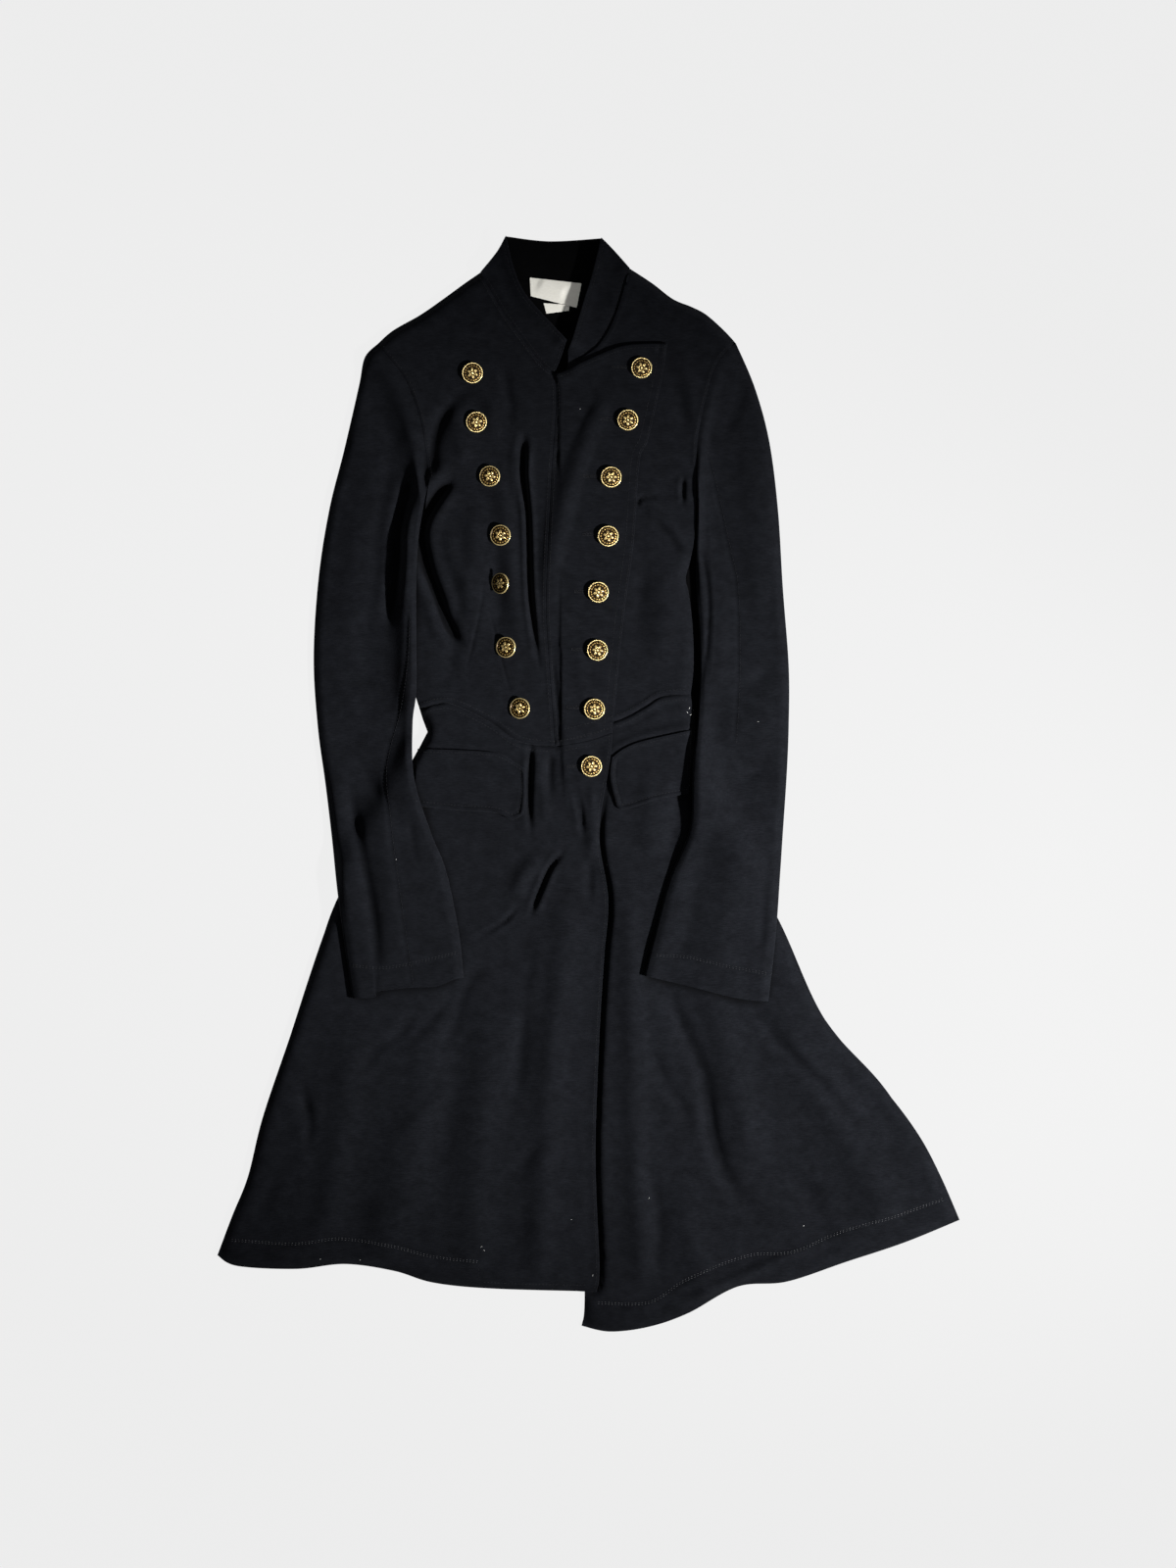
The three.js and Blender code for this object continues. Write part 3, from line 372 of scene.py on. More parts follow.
# Lines and grids of places
def dense_line(rows):
    table = np.array(rows, float)
    table = np.vstack([table[:1], table, table[-1:]])
    t = np.linspace(0, 1, 33)[:-1, None]
    spans = []
    for before, start, end, after in zip(table, table[1:], table[2:], table[3:]):
        v0 = (end - before) / 2
        v1 = (after - start) / 2
        cubic = (2 * start - 2 * end + v0 + v1) * t**3
        spans.append(cubic + (3 * end - 3 * start - 2 * v0 - v1) * t**2 + v0 * t + start)
    line = np.vstack(spans + [table[-1:]])
    return line, np.concatenate([[0], np.cumsum(np.hypot(*np.diff(line, axis=0).T))])


def length_of(parts):
    return sum(dense_line(part)[1][-1] for part in parts)


def evenly(rows, count):
    line, run = dense_line(rows)
    at = np.linspace(0, run[-1], count + 1)
    return np.column_stack([np.interp(at, run, line[:, k]) for k in (0, 1)])


def edge(parts, count):
    """Places along lines that follow each other, with one at each corner."""
    lengths = [length_of([part]) for part in parts]
    shares = [max(2, round(count * length / sum(lengths))) for length in lengths]
    shares[int(np.argmax(lengths))] += count - sum(shares)
    pieces = [evenly(part, share) for part, share in zip(parts, shares)]
    return np.vstack([pieces[0]] + [piece[1:] for piece in pieces[1:]])


def patch(top, bottom, left, right, step=STEP):
    """A four-sided grid of places between its edges."""
    across = math.ceil(max(length_of(top), length_of(bottom)) / step)
    down = math.ceil(max(length_of(left), length_of(right)) / step)
    top, bottom = edge(top, across), edge(bottom, across)
    left, right = edge(left, down), edge(right, down)
    u = np.linspace(0, 1, across + 1)[None, :, None]
    v = np.linspace(0, 1, down + 1)[:, None, None]
    ruled = (1 - v) * top[None] + v * bottom[None] + (1 - u) * left[:, None] + u * right[:, None]
    corners = (1 - u) * (1 - v) * top[0] + u * (1 - v) * top[-1]
    corners = corners + (1 - u) * v * bottom[0] + u * v * bottom[-1]
    return ruled - corners


def resample(grid, places, axis):
    low = np.clip(np.floor(places).astype(int), 0, grid.shape[axis] - 2)
    part = (places - low).reshape([-1 if k == axis else 1 for k in range(grid.ndim)])
    return np.take(grid, low, axis) * (1 - part) + np.take(grid, low + 1, axis) * part


def rim_places(count):
    far = [count - 1 - part for part in reversed(RIM)]
    return np.concatenate([[0], RIM, np.arange(1, count - 1), far, [count - 1]])


def with_rim(grid):
    grid = resample(grid, rim_places(grid.shape[0]), 0)
    return resample(grid, rim_places(grid.shape[1]), 1)


def steps_along(grid, axis):
    lengths = np.sqrt((np.diff(grid, axis=axis) ** 2).sum(axis=2))
    pad = [(1, 0), (0, 0)] if axis == 0 else [(0, 0), (1, 0)]
    return np.pad(np.cumsum(lengths, axis=axis), pad)


def rim_distance(grid):
    down = steps_along(grid, 0)
    across = steps_along(grid, 1)
    return np.minimum.reduce([down, down[-1:] - down, across, across[:, -1:] - across])


# Height rasters
def cell_of(xy):
    return (xy[..., 1] - FIELD_BOTTOM) / CELL, (xy[..., 0] - FIELD_LEFT) / CELL


def sample(raster, xy):
    row, column = cell_of(xy)
    r0 = np.clip(np.floor(row).astype(int), 0, FIELD_SHAPE[0] - 2)
    c0 = np.clip(np.floor(column).astype(int), 0, FIELD_SHAPE[1] - 2)
    fr, fc = row - r0, column - c0
    near = raster[r0, c0] * (1 - fc) + raster[r0, c0 + 1] * fc
    far = raster[r0 + 1, c0] * (1 - fc) + raster[r0 + 1, c0 + 1] * fc
    return near * (1 - fr) + far * fr


def burn(grid, height):
    """The raster of how high a grid of places reaches, 0 outside it."""
    both = np.dstack([grid, height])
    for axis in (0, 1):
        both = resample(both, np.linspace(0, both.shape[axis] - 1, 4 * both.shape[axis]), axis)
    row, column = cell_of(both)
    raster = np.zeros(FIELD_SHAPE)
    np.maximum.at(raster, (np.rint(row).astype(int), np.rint(column).astype(int)), both[..., 2])
    return raster


def blur(raster, reach):
    fy = np.fft.fftfreq(FIELD_SHAPE[0])[:, None]
    fx = np.fft.rfftfreq(FIELD_SHAPE[1])[None]
    keep = np.exp(-2 * (math.pi * reach / CELL) ** 2 * (fx**2 + fy**2))
    return np.fft.irfft2(np.fft.rfft2(raster) * keep, s=FIELD_SHAPE)


def spread(raster, reach):
    for axis in (0, 1):
        shifted = [np.roll(raster, k, axis) for k in range(-reach, reach + 1)]
        raster = np.maximum.reduce(shifted)
    return raster


def smooth_step(x):
    x = np.clip(x, 0, 1)
    return x * x * (3 - 2 * x)


def smooth_max(a, b, soft=1.2):
    return 0.5 * (a + b + np.sqrt((a - b) ** 2 + soft**2))


def bed(raster, reach=9, soft=4.5):
    """A soft surface that clears everything in the raster."""
    return np.maximum(blur(spread(raster, reach), soft), spread(raster, 1)) + PLY


def puff(mask, height, soft):
    return height * smooth_step(2 * blur(mask, soft) - 1)


def fold_profile(fold, off):
    bell = np.exp(-((off / fold.width) ** 2))
    if fold.kind == "swell":
        return fold.height * bell
    lips = np.exp(-(((off - 2.3 * fold.width) / (1.2 * fold.width)) ** 2))
    return fold.height * (0.22 * lips - bell)


def draw_folds(folds):
    """The raster of how far folds raise or lower the cloth."""
    field = np.zeros(FIELD_SHAPE)
    for fold in folds:
        path = evenly(fold.path, max(8, int(length_of([fold.path]) / 2)))
        margin = 4.5 * fold.width
        low = np.floor(cell_of(path.min(axis=0) - margin)).astype(int)
        high = np.ceil(cell_of(path.max(axis=0) + margin)).astype(int)
        rows = np.arange(max(low[0], 0), min(high[0], FIELD_SHAPE[0]))
        columns = np.arange(max(low[1], 0), min(high[1], FIELD_SHAPE[1]))
        x, y = np.meshgrid(columns * CELL + FIELD_LEFT, rows * CELL + FIELD_BOTTOM)
        squared = (x[..., None] - path[:, 0]) ** 2 + (y[..., None] - path[:, 1]) ** 2
        t = squared.argmin(axis=2) / (len(path) - 1)
        fade = smooth_step(t / fold.fade[0]) * smooth_step((1 - t) / fold.fade[1])
        profile = fold_profile(fold, np.sqrt(squared.min(axis=2)))
        field[rows[0]:rows[-1] + 1, columns[0]:columns[-1] + 1] += profile * fade
    return field


def draw_line(path, width):
    """1 on a line and near it, 0 elsewhere."""
    return draw_folds([swell(1.0, width, path, (0.01, 0.01))])


def beside(rows, distance):
    """The line that runs beside another, to its left for a distance above zero."""
    line = evenly(rows, max(4, int(length_of([rows]) / 4)))
    tangent = np.gradient(line, axis=0)
    tangent /= np.hypot(*tangent.T)[:, None]
    return line + np.column_stack([-tangent[:, 1], tangent[:, 0]]) * distance


def draw_relief(rows):
    return draw_folds([
        swell(height, width, beside(line, off), (0.02, 0.02)) for line, off, height, width in rows
    ])


def hem_puckers(stitches, edge_side):
    """Small uneven waves between a hem's stitches and its edge."""
    line = evenly(stitches, int(length_of([stitches]) / PUCKER_PITCH))
    low = beside(line, edge_side * HEM_DEPTH)
    folds = [swell(-0.9, 2.6, beside(line, 0), (0.02, 0.02))]
    for k in range(1, len(line) - 1):
        height = 0.5 + 0.9 * math.sin(2.3 * k + 0.6 * math.sin(1.7 * k))
        lean = 5 * math.sin(1.1 * k)
        end = low[min(k, len(low) - 1)] + [lean, 0]
        folds.append(swell(height, 4.5, [line[k], (line[k] + end) / 2, end]))
    return draw_folds(folds)


# Meshes
def new_object(name, points, faces, material):
    mesh = bpy.data.meshes.new(name)
    mesh.from_pydata((np.asarray(points) * MM).tolist(), [], faces)
    mesh.materials.append(material)
    mesh.update()
    mesh.shade_smooth()
    obj = bpy.data.objects.new(name, mesh)
    bpy.context.scene.collection.objects.link(obj)
    return obj


def store(obj, name, values):
    layer = obj.data.attributes.new(name, "FLOAT", "POINT")
    layer.data.foreach_set("value", np.asarray(values, np.float32).ravel())


def quads(rows, columns, start=0, flip=False, wrap=False):
    j, i = np.meshgrid(np.arange(rows - 1), np.arange(columns if wrap else columns - 1), indexing="ij")
    j, i = j.ravel(), i.ravel()
    after = (i + 1) % columns
    corners = [j * columns + i, (j + 1) * columns + i, (j + 1) * columns + after, j * columns + after]
    faces = np.column_stack(corners) + start
    return (faces[:, ::-1] if flip else faces).tolist()


def rim_faces(rows, columns, start):
    """Quads that join the rim of a grid to the rim of the one that follows it."""
    top = [(0, i) for i in range(columns)] + [(j, columns - 1) for j in range(1, rows)]
    top += [(rows - 1, i) for i in range(columns - 2, -1, -1)] + [(j, 0) for j in range(rows - 2, 0, -1)]
    loop = [j * columns + i for j, i in top]
    return [(a, b, b + start, a + start) for a, b in zip(loop, loop[1:] + loop[:1])]


def cloth_piece(name, grid, bottom, thickness, material):
    """A closed sheet with rounded edges over a grid of places and the heights of its underside."""
    rows, columns = grid.shape[:2]
    half = thickness / 2
    near = np.clip(EDGE_SHARPNESS * rim_distance(grid), 0, half)
    bulge = np.sqrt(np.maximum(half**2 - (half - near) ** 2, 0)) + 0.02
    middle = bottom + half
    upper = np.dstack([grid, middle + bulge]).reshape(-1, 3)
    lower = np.dstack([grid, middle - bulge]).reshape(-1, 3)
    count = rows * columns
    faces = quads(rows, columns) + quads(rows, columns, count, flip=True) + rim_faces(rows, columns, count)
    return new_object(name, np.vstack([upper, lower]), faces, material)


# Materials
def add_node(tree, kind, inputs=None, **settings):
    node = tree.nodes.new(kind)
    for key, value in settings.items():
        setattr(node, key, value)
    for key, value in (inputs or {}).items():
        if isinstance(value, bpy.types.NodeSocket):
            tree.links.new(value, node.inputs[key])
        else:
            node.inputs[key].default_value = value
    return node


def new_material(name, settings):
    """A material whose shader has some of its sockets set."""
    material = bpy.data.materials.new(name)
    material.use_nodes = True
    shader = material.node_tree.nodes["Principled BSDF"]
    for key, value in settings.items():
        shader.inputs[key].default_value = value
    return material, material.node_tree, shader


def stretched_noise(tree, stretch, detail):
    place = add_node(tree, "ShaderNodeTexCoord")
    mapped = add_node(tree, "ShaderNodeMapping", {"Vector": place.outputs["Object"], "Scale": stretch})
    noise = {"Vector": mapped.outputs[0], "Scale": 1.0, "Detail": detail}
    return add_node(tree, "ShaderNodeTexNoise", noise).outputs["Fac"]


def ramp(tree, factor, stops):
    node = add_node(tree, "ShaderNodeValToRGB", {"Fac": factor})
    for k, (position, colour) in enumerate(stops):
        element = node.color_ramp.elements[k] if k < 2 else node.color_ramp.elements.new(position)
        element.position = position
        element.color = (*colour, 1)
    return node.outputs["Color"]


def mix_colour(tree, factor, a, b, mode="MIX"):
    node = add_node(tree, "ShaderNodeMix", data_type="RGBA", blend_type=mode)
    for socket, value in ((node.inputs[0], factor), (node.inputs[6], a), (node.inputs[7], b)):
        if isinstance(value, bpy.types.NodeSocket):
            tree.links.new(value, socket)
        else:
            socket.default_value = value
    return node.outputs[2]


def darken(tree, colour, factor, noise, stops):
    """A colour multiplied by a ramp over a noise."""
    return mix_colour(tree, factor, colour, ramp(tree, noise, stops), "MULTIPLY")


def add_bumps(tree, shader, layers):
    """Bumps that build on each other. Columns: height, strength, distance"""
    below = {}
    for height, strength, distance in layers:
        inputs = {"Height": height, "Strength": strength, "Distance": distance}
        below = {"Normal": add_node(tree, "ShaderNodeBump", inputs | below).outputs[0]}
    tree.links.new(below["Normal"], shader.inputs["Normal"])


def fleece(name, dark, light, sheen):
    """Brushed fleece: a fine crosswise slub, a soft nap and painted shade that darkens the colour in the
    deep creases.
    """
    material, tree, shader = new_material(name, {
        "Roughness": 0.9, "Specular IOR Level": 0.045, "Sheen Weight": sheen,
        "Sheen Roughness": 0.45, "Sheen Tint": (0.55, 0.58, 0.68, 1),
    })
    slub = stretched_noise(tree, (160, 1000, 500), 3)
    grain = stretched_noise(tree, (900, 900, 900), 2)
    cloud = stretched_noise(tree, (14, 11, 14), 3)
    worn = stretched_noise(tree, (75, 95, 80), 5)
    cloth = ramp(tree, slub, [(0.3, dark), (0.72, light)])
    cloth = darken(tree, cloth, 0.5, worn, [(0.3, (0.25, 0.25, 0.27)), (0.7, (1, 1, 1))])
    cloth = darken(tree, cloth, 0.5, cloud, [(0.25, (0.55, 0.55, 0.55)), (0.8, (1, 1, 1))])
    painted_crease_shade = add_node(tree, "ShaderNodeAttribute", attribute_name="painted_crease_shade").outputs["Fac"]
    # Painted shade: the colour is mixed towards near-black in the deep creases, as far as the stored
    # attribute says
    cloth = mix_colour(tree, painted_crease_shade, cloth, (0.0006, 0.0006, 0.0008, 1))
    tree.links.new(cloth, shader.inputs["Base Color"])
    add_bumps(tree, shader, [(slub, 0.22, 0.0005), (grain, 0.3, 0.0003)])
    return material


def woven_tape():
    material, tree, shader = new_material("label_tape", {"Roughness": 0.55, "Sheen Weight": 0.3})
    weft = stretched_noise(tree, (300, 2600, 300), 2)
    cream = ramp(tree, weft, [(0.3, (0.88, 0.85, 0.76)), (0.7, (0.97, 0.95, 0.86))])
    tree.links.new(cream, shader.inputs["Base Color"])
    add_bumps(tree, shader, [(weft, 0.4, 0.0003)])
    return material


def thread(name, dark, light):
    settings = {"Roughness": 0.8, "Specular IOR Level": 0.08, "Sheen Weight": 0.05}
    material, tree, shader = new_material(name, settings)
    twist = stretched_noise(tree, (1500, 1500, 1500), 2)
    tree.links.new(ramp(tree, twist, [(0.35, dark), (0.65, light)]), shader.inputs["Base Color"])
    return material


def antique_gilt():
    """Gilt metal with brown recesses and bright wear on the high places."""
    material, tree, shader = new_material("gilt_button", {"Metallic": 0.7})
    height = add_node(tree, "ShaderNodeAttribute", attribute_name="relief").outputs["Fac"]
    tarnish = stretched_noise(tree, (500, 500, 500), 4)
    recess, middle, worn_rim = (0.03, 0.016, 0.005), (0.48, 0.30, 0.08), (1.0, 0.80, 0.37)
    gilt = ramp(tree, height, [(0.1, recess), (0.45, middle), (0.88, worn_rim)])
    gilt = darken(tree, gilt, 0.45, tarnish, [(0.3, (0.5, 0.42, 0.32)), (0.65, (1, 1, 1))])
    tree.links.new(gilt, shader.inputs["Base Color"])
    rough = add_node(tree, "ShaderNodeMapRange", {"Value": tarnish, "To Min": 0.22, "To Max": 0.42})
    tree.links.new(rough.outputs[0], shader.inputs["Roughness"])
    add_bumps(tree, shader, [(tarnish, 0.15, 0.0002)])
    return material


NAVY = fleece("navy_fleece", (0.0043, 0.0048, 0.0064), (0.0080, 0.0087, 0.0111), 0.046)
# Near-black fleece for the collar's back and the back bodice: painted shade, darker than the navy to stand
# in for the shade inside the neck and in the gaps beside the sleeves
INSIDE_SHADE = fleece("collar_inside", (0.0008, 0.0008, 0.0010), (0.0018, 0.0018, 0.0021), 0.007)
TAPE = woven_tape()
GILT = antique_gilt()
THREAD = thread("navy_thread", (0.008, 0.0083, 0.0100), (0.0125, 0.0129, 0.0150))
HEM_THREAD = thread("worn_thread", (0.011, 0.0114, 0.0134), (0.024, 0.0245, 0.0275))
PALE_THREAD = thread("pale_thread", (0.022, 0.0225, 0.025), (0.11, 0.111, 0.116))
LINT = thread("pale_lint", (0.25, 0.25, 0.24), (0.43, 0.43, 0.41))


# Places of the panels
grids = {
    "back_bodice": patch(
        [SHOULDER_R, BACK_NECK, SHOULDER_L], [WAIST_BACK], [BACK_ARMHOLE_R, BACK_SIDE_R],
        [BACK_ARMHOLE_L, BACK_SIDE_L], BACK_STEP,
    ),
    "back_skirt": patch([WAIST_BACK], [HEM_BACK], [BACK_SWEEP_R], [BACK_SWEEP_L], BACK_STEP),
    "bodice_left": patch(
        [[UNDERLAP[0], NECK_L[-1]], NECK_L[::-1], SHOULDER_L], [WAIST_L], [UNDERLAP],
        [ARMHOLE_L, SIDE_L], UNDER_STEP,
    ),
    "skirt_left": patch([WAIST_L], [HEM_L], [UNDERLAP_SKIRT], [SWEEP_L], SKIRT_STEP),
    "bodice_right": patch([SHOULDER_R, NECK_R], [WAIST_R], [ARMHOLE_R, SIDE_R], [CENTRE_FRONT]),
    "front_overlap": patch([OVERLAP_TOP], [WAIST_CENTRE], [CENTRE_FRONT], [OVERLAP_EDGE]),
    "skirt_right": patch([WAIST_R, WAIST_CENTRE], [HEM_R], [SWEEP_R], [OPENING], SKIRT_STEP),
    "pocket_flap_right": patch([FLAP_TOP_R], [FLAP_BOTTOM_R], [FLAP_OUTER_R], [FLAP_INNER_R], FINE_STEP),
    "pocket_flap_left": patch([FLAP_TOP_L], [FLAP_BOTTOM_L], [FLAP_INNER_L], [FLAP_OUTER_L], FINE_STEP),
    "collar_back": patch([COLLAR_TOP], [BACK_NECK], [COLLAR_FOLD_R], [COLLAR_FOLD_L]),
    "collar_right": patch([COLLAR_FOLD_R[::-1]], [COLLAR_END_R[::-1]], [NECK_R], [COLLAR_OPEN_R]),
    "collar_left": patch([COLLAR_FOLD_L[::-1]], [COLLAR_END_L[::-1]], [NECK_L], [COLLAR_OPEN_L]),
    "label": patch([LABEL_TOP], [LABEL_BOTTOM], LABEL_ENDS[:1], LABEL_ENDS[1:], FINE_STEP),
    "size_tab": patch([TAB_TOP], [TAB_BOTTOM], TAB_ENDS[:1], TAB_ENDS[1:], FINE_STEP),
}
grids = {name: with_rim(grid) for name, grid in grids.items()}
SLEEVES = {
    "right": patch([ARMHOLE_R], [CUFF_R], [SLEEVE_OUTER_R], [SLEEVE_INNER_R], SLEEVE_STEP),
    "left": patch([ARMHOLE_L], [CUFF_L], [SLEEVE_OUTER_L], [SLEEVE_INNER_L], SLEEVE_STEP),
}
shape = {name: burn(grid, np.ones(grid.shape[:2])) for name, grid in grids.items()}
for side, grid in SLEEVES.items():
    head = grid[: int(SLEEVE_SEWN / SLEEVE_STEP), : int(grid.shape[1] * HEAD_SHARE)]
    shape[f"sleeve_head_{side}"] = burn(head, np.ones(head.shape[:2]))
    shape[f"sleeve_{side}"] = burn(grid, np.ones(grid.shape[:2]))


def union(*names):
    return np.maximum.reduce([shape[name] for name in names])


# Heights of the layers
def lifted(base, relief):
    """A bed raised by relief but nowhere let into what it lies on."""
    return np.maximum(base + relief, base)


def from_row(low, high):
    """A column that goes from 0 at one y to 1 at another."""
    return smooth_step((row_y - low) / (high - low))


row_y = (np.arange(FIELD_SHAPE[0]) * CELL + FIELD_BOTTOM)[:, None]
column_x = (np.arange(FIELD_SHAPE[1]) * CELL + FIELD_LEFT)[None]
back = union("back_bodice", "back_skirt") * CLOTH
heads = union("sleeve_head_right", "sleeve_head_left")
fronts = union("bodice_right", "front_overlap", "bodice_left", "collar_right", "collar_left")
skirts = union("skirt_right", "skirt_left")
puff_height = SKIRT_PUFF + (BODICE_PUFF - SKIRT_PUFF) * from_row(-60, 100)
sleeves_above = union("sleeve_right", "sleeve_left") * from_row(40, 100)
body_puff = puff(np.maximum.reduce([fronts, heads, skirts, sleeves_above]), 1.0, 7) * puff_height

# The left skirt dips to the back beside the right skirt's front edge
beside_opening = smooth_step(1 - 2.3 * blur(union("skirt_right"), 4.5))
dip = from_row(20, -60) * (1 - beside_opening)
left_relief = draw_folds(BODICE_LEFT_FOLDS + SKIRT_LEFT_FOLDS) * (1 - dip) + draw_relief(SEAM_RELIEF_LEFT)
left_relief += hem_puckers(HEM_STITCH_L, -1)
left_level = lifted(bed(back), body_puff * (1 - dip) + left_relief)
left_top = np.minimum(shape["bodice_left"] + shape["skirt_left"], 1) * (left_level + CLOTH)

right_relief = draw_folds(BODICE_FOLDS + SKIRT_RIGHT_FOLDS) + draw_relief(SEAM_RELIEF_RIGHT)
right_relief += hem_puckers(HEM_STITCH_R, -1)
right_level = smooth_max(lifted(bed(back), body_puff + right_relief), bed(left_top, 5, 3.0))
right_top = union("bodice_right", "front_overlap", "skirt_right") * (right_level + CLOTH)

stack = np.maximum.reduce([back, left_top, right_top])
flap_level = np.maximum(blur(stack, 2.0), stack) + PLY + np.maximum(draw_relief(FLAP_RELIEF) + 0.7, 0)
flap_top = union("pocket_flap_right", "pocket_flap_left") * (flap_level + CLOTH)
stack = np.maximum(stack, flap_top)

# Collar: its back lies inside up, and its fronts rise towards the neck opening
opening_near = np.clip(blur(draw_line(COLLAR_OPEN_R, 9) + draw_line(COLLAR_OPEN_L, 9), 2), 0, 1)
neck_near = np.maximum(draw_line(NECK_R, 5), draw_line(NECK_L, 5))
collar_stitch = draw_line(beside(COLLAR_OPEN_R, -4), 1.5) + draw_line(beside(COLLAR_OPEN_L, 4), 1.5)
collar_level = CLOTH + PLY + COLLAR_LOW + COLLAR_RISE * opening_near - 1.2 * neck_near - 0.5 * collar_stitch
collar_top = union("collar_right", "collar_left") * (collar_level + CLOTH)
stack = np.maximum.reduce([stack, collar_top, shape["collar_back"] * CLOTH])
label_sag = draw_folds(LABEL_FOLDS)
label_level = CLOTH + PLY + np.maximum(label_sag, 0)
tab_level = label_level + shape["label"] * (TAPE_PLY + PLY / 2)

flat = np.zeros(FIELD_SHAPE)
bottoms = {
    "back_bodice": flat, "back_skirt": flat, "collar_back": flat,
    "bodice_left": left_level, "skirt_left": left_level,
    "bodice_right": right_level, "front_overlap": right_level, "skirt_right": right_level,
    "pocket_flap_right": flap_level, "pocket_flap_left": flap_level,
    "collar_right": collar_level, "collar_left": collar_level, "label": label_level, "size_tab": tab_level,
}

# Sleeves: flattened tubes that lie on the floor and on the skirt
below_heads = stack * (1 - heads)
over_skirt = np.maximum(from_row(130, 50), column_x < 0)
tight_bed = bed(below_heads, reach=4, soft=4)
loose_bed = bed(below_heads, reach=12, soft=7)
sleeve_bed = tight_bed * (1 - over_skirt) + loose_bed * over_skirt - PLY
sleeve_bed = np.maximum(sleeve_bed + draw_folds(SLEEVE_LIFTS), 0)
SLEEVE_PARTS = {
    "right": (SLEEVE_RIGHT_FOLDS, SLEEVE_SEAM_R, CUFF_STITCH_R, right_level),
    "left": (SLEEVE_LEFT_FOLDS, SLEEVE_SEAM_L, CUFF_STITCH_L, left_level),
}


def arc_height(distance, radius):
    """Half the height of a flattened tube at a distance from its fold."""
    near = np.clip(distance, 0, radius)
    return np.sqrt(np.maximum(radius**2 - (radius - near) ** 2, 0))


def sleeve_sections(side):
    """The outer and the inner ring of each section, and the height field of the upper side."""
    folds, seam, cuff, body_level = SLEEVE_PARTS[side]
    grid = with_rim(SLEEVES[side])
    across = steps_along(grid, 1)
    down = steps_along(grid, 0)
    sewn = 1 - smooth_step(down / SLEEVE_SEWN)
    floor = sample(sleeve_bed, grid) * (1 - sewn) + (CLOTH + PLY) * sewn
    from_fold = np.minimum(across, across[:, -1:] - across)
    outer_rise = arc_height(from_fold, SLEEVE_FOLD)
    inner_rise = arc_height(np.maximum(from_fold - CLOTH, 0), SLEEVE_FOLD - CLOTH)
    lift = (sample(draw_folds(folds), grid) + SLEEVE_PUFF) * smooth_step(from_fold / SLEEVE_ROUND)
    lift += sample(draw_relief([(seam, 0, -1.0, 1.6), (cuff, 0, -0.6, 1.5)]), grid)
    # The head takes the height of the front that it is sewn to
    centre = floor + SLEEVE_FOLD
    head_lift = sample(body_level, grid[:1]) + CLOTH - centre[:1] - outer_rise[:1]
    lift = np.maximum(lift * (1 - sewn) + head_lift * sewn, -0.3)
    direction = grid[:, -1:] - grid[:, :1]
    direction = direction / np.sqrt((direction**2).sum(axis=2, keepdims=True))
    middle = grid.shape[1] // 2
    inward = np.where(np.arange(grid.shape[1]) < middle, 1, -1)[None, :, None]
    inner = grid + direction * inward * np.clip(CLOTH - from_fold, 0, CLOTH)[..., None]
    rings = []
    for places, rise in ((grid, outer_rise), (inner, inner_rise)):
        top = np.dstack([places, centre + rise + lift])
        low = np.dstack([places, centre - rise])
        rings.append(np.concatenate([top, low[:, -2:0:-1]], axis=1))
    return rings, burn(grid, centre + outer_rise + lift)


def tube_piece(name, outer, inner, material):
    rows, columns = outer.shape[:2]
    count = rows * columns
    faces = quads(rows, columns, wrap=True) + quads(rows, columns, count, flip=True, wrap=True)
    for row in (0, rows - 1):
        for i in range(columns):
            a = row * columns + i
            b = row * columns + (i + 1) % columns
            quad = (a, b, b + count, a + count)
            faces.append(quad if row == 0 else quad[::-1])
    return new_object(name, np.vstack([outer.reshape(-1, 3), inner.reshape(-1, 3)]), faces, material)


pieces = {}
rings = {}
everything = stack.copy()
for side in SLEEVE_PARTS:
    (outer, inner), top = sleeve_sections(side)
    pieces[f"sleeve_{side}"] = tube_piece(f"laid_sleeve_{side}", outer, inner, NAVY)
    rings[side] = outer
    everything = np.maximum(everything, top)

# The collar's back and the back bodice take the near-black fleece of painted shade
MATERIALS = {"collar_back": INSIDE_SHADE, "back_bodice": INSIDE_SHADE, "label": TAPE, "size_tab": TAPE}
for name, grid in grids.items():
    material = MATERIALS.get(name, NAVY)
    thickness = TAPE_PLY if material is TAPE else CLOTH
    pieces[name] = cloth_piece(f"laid_{name}", grid, sample(bottoms[name], grid), thickness, material)

# How deep each place lies below what is round it, stored as painted shade for the cloth's colour in the
# deepest creases
around = np.maximum(blur(everything, 7), blur(everything, 3.5))
for obj in pieces.values():
    places = np.empty(len(obj.data.vertices) * 3)
    obj.data.vertices.foreach_get("co", places)
    places = places.reshape(-1, 3) / MM
    deep = sample(around, places[:, :2]) - places[:, 2]
    store(obj, "painted_crease_shade", PAINTED_CREASE_SHADE * smooth_step((deep - 0.8) / 4.5))

# The floor, evenly pale whatever light falls on it
floor_material, floor_tree, floor_shader = new_material("pale_floor", {
    "Roughness": 0.9, "Specular IOR Level": 0.1,
    "Emission Color": (1, 1, 1, 1), "Emission Strength": FLOOR_GLOW,
})
floor_tone = stretched_noise(floor_tree, (3, 3, 3), 2)
floor_colour = ramp(floor_tree, floor_tone, [(0.2, (0.013, 0.013, 0.013)), (0.8, (0.016, 0.016, 0.016))])
floor_tree.links.new(floor_colour, floor_shader.inputs["Base Color"])
corners = [(x * FLOOR_HALF, y * FLOOR_HALF, FLOOR_LEVEL) for x, y in ((-1, -1), (1, -1), (1, 1), (-1, 1))]
floor = new_object("floor", corners, [(0, 1, 2, 3)], floor_material)

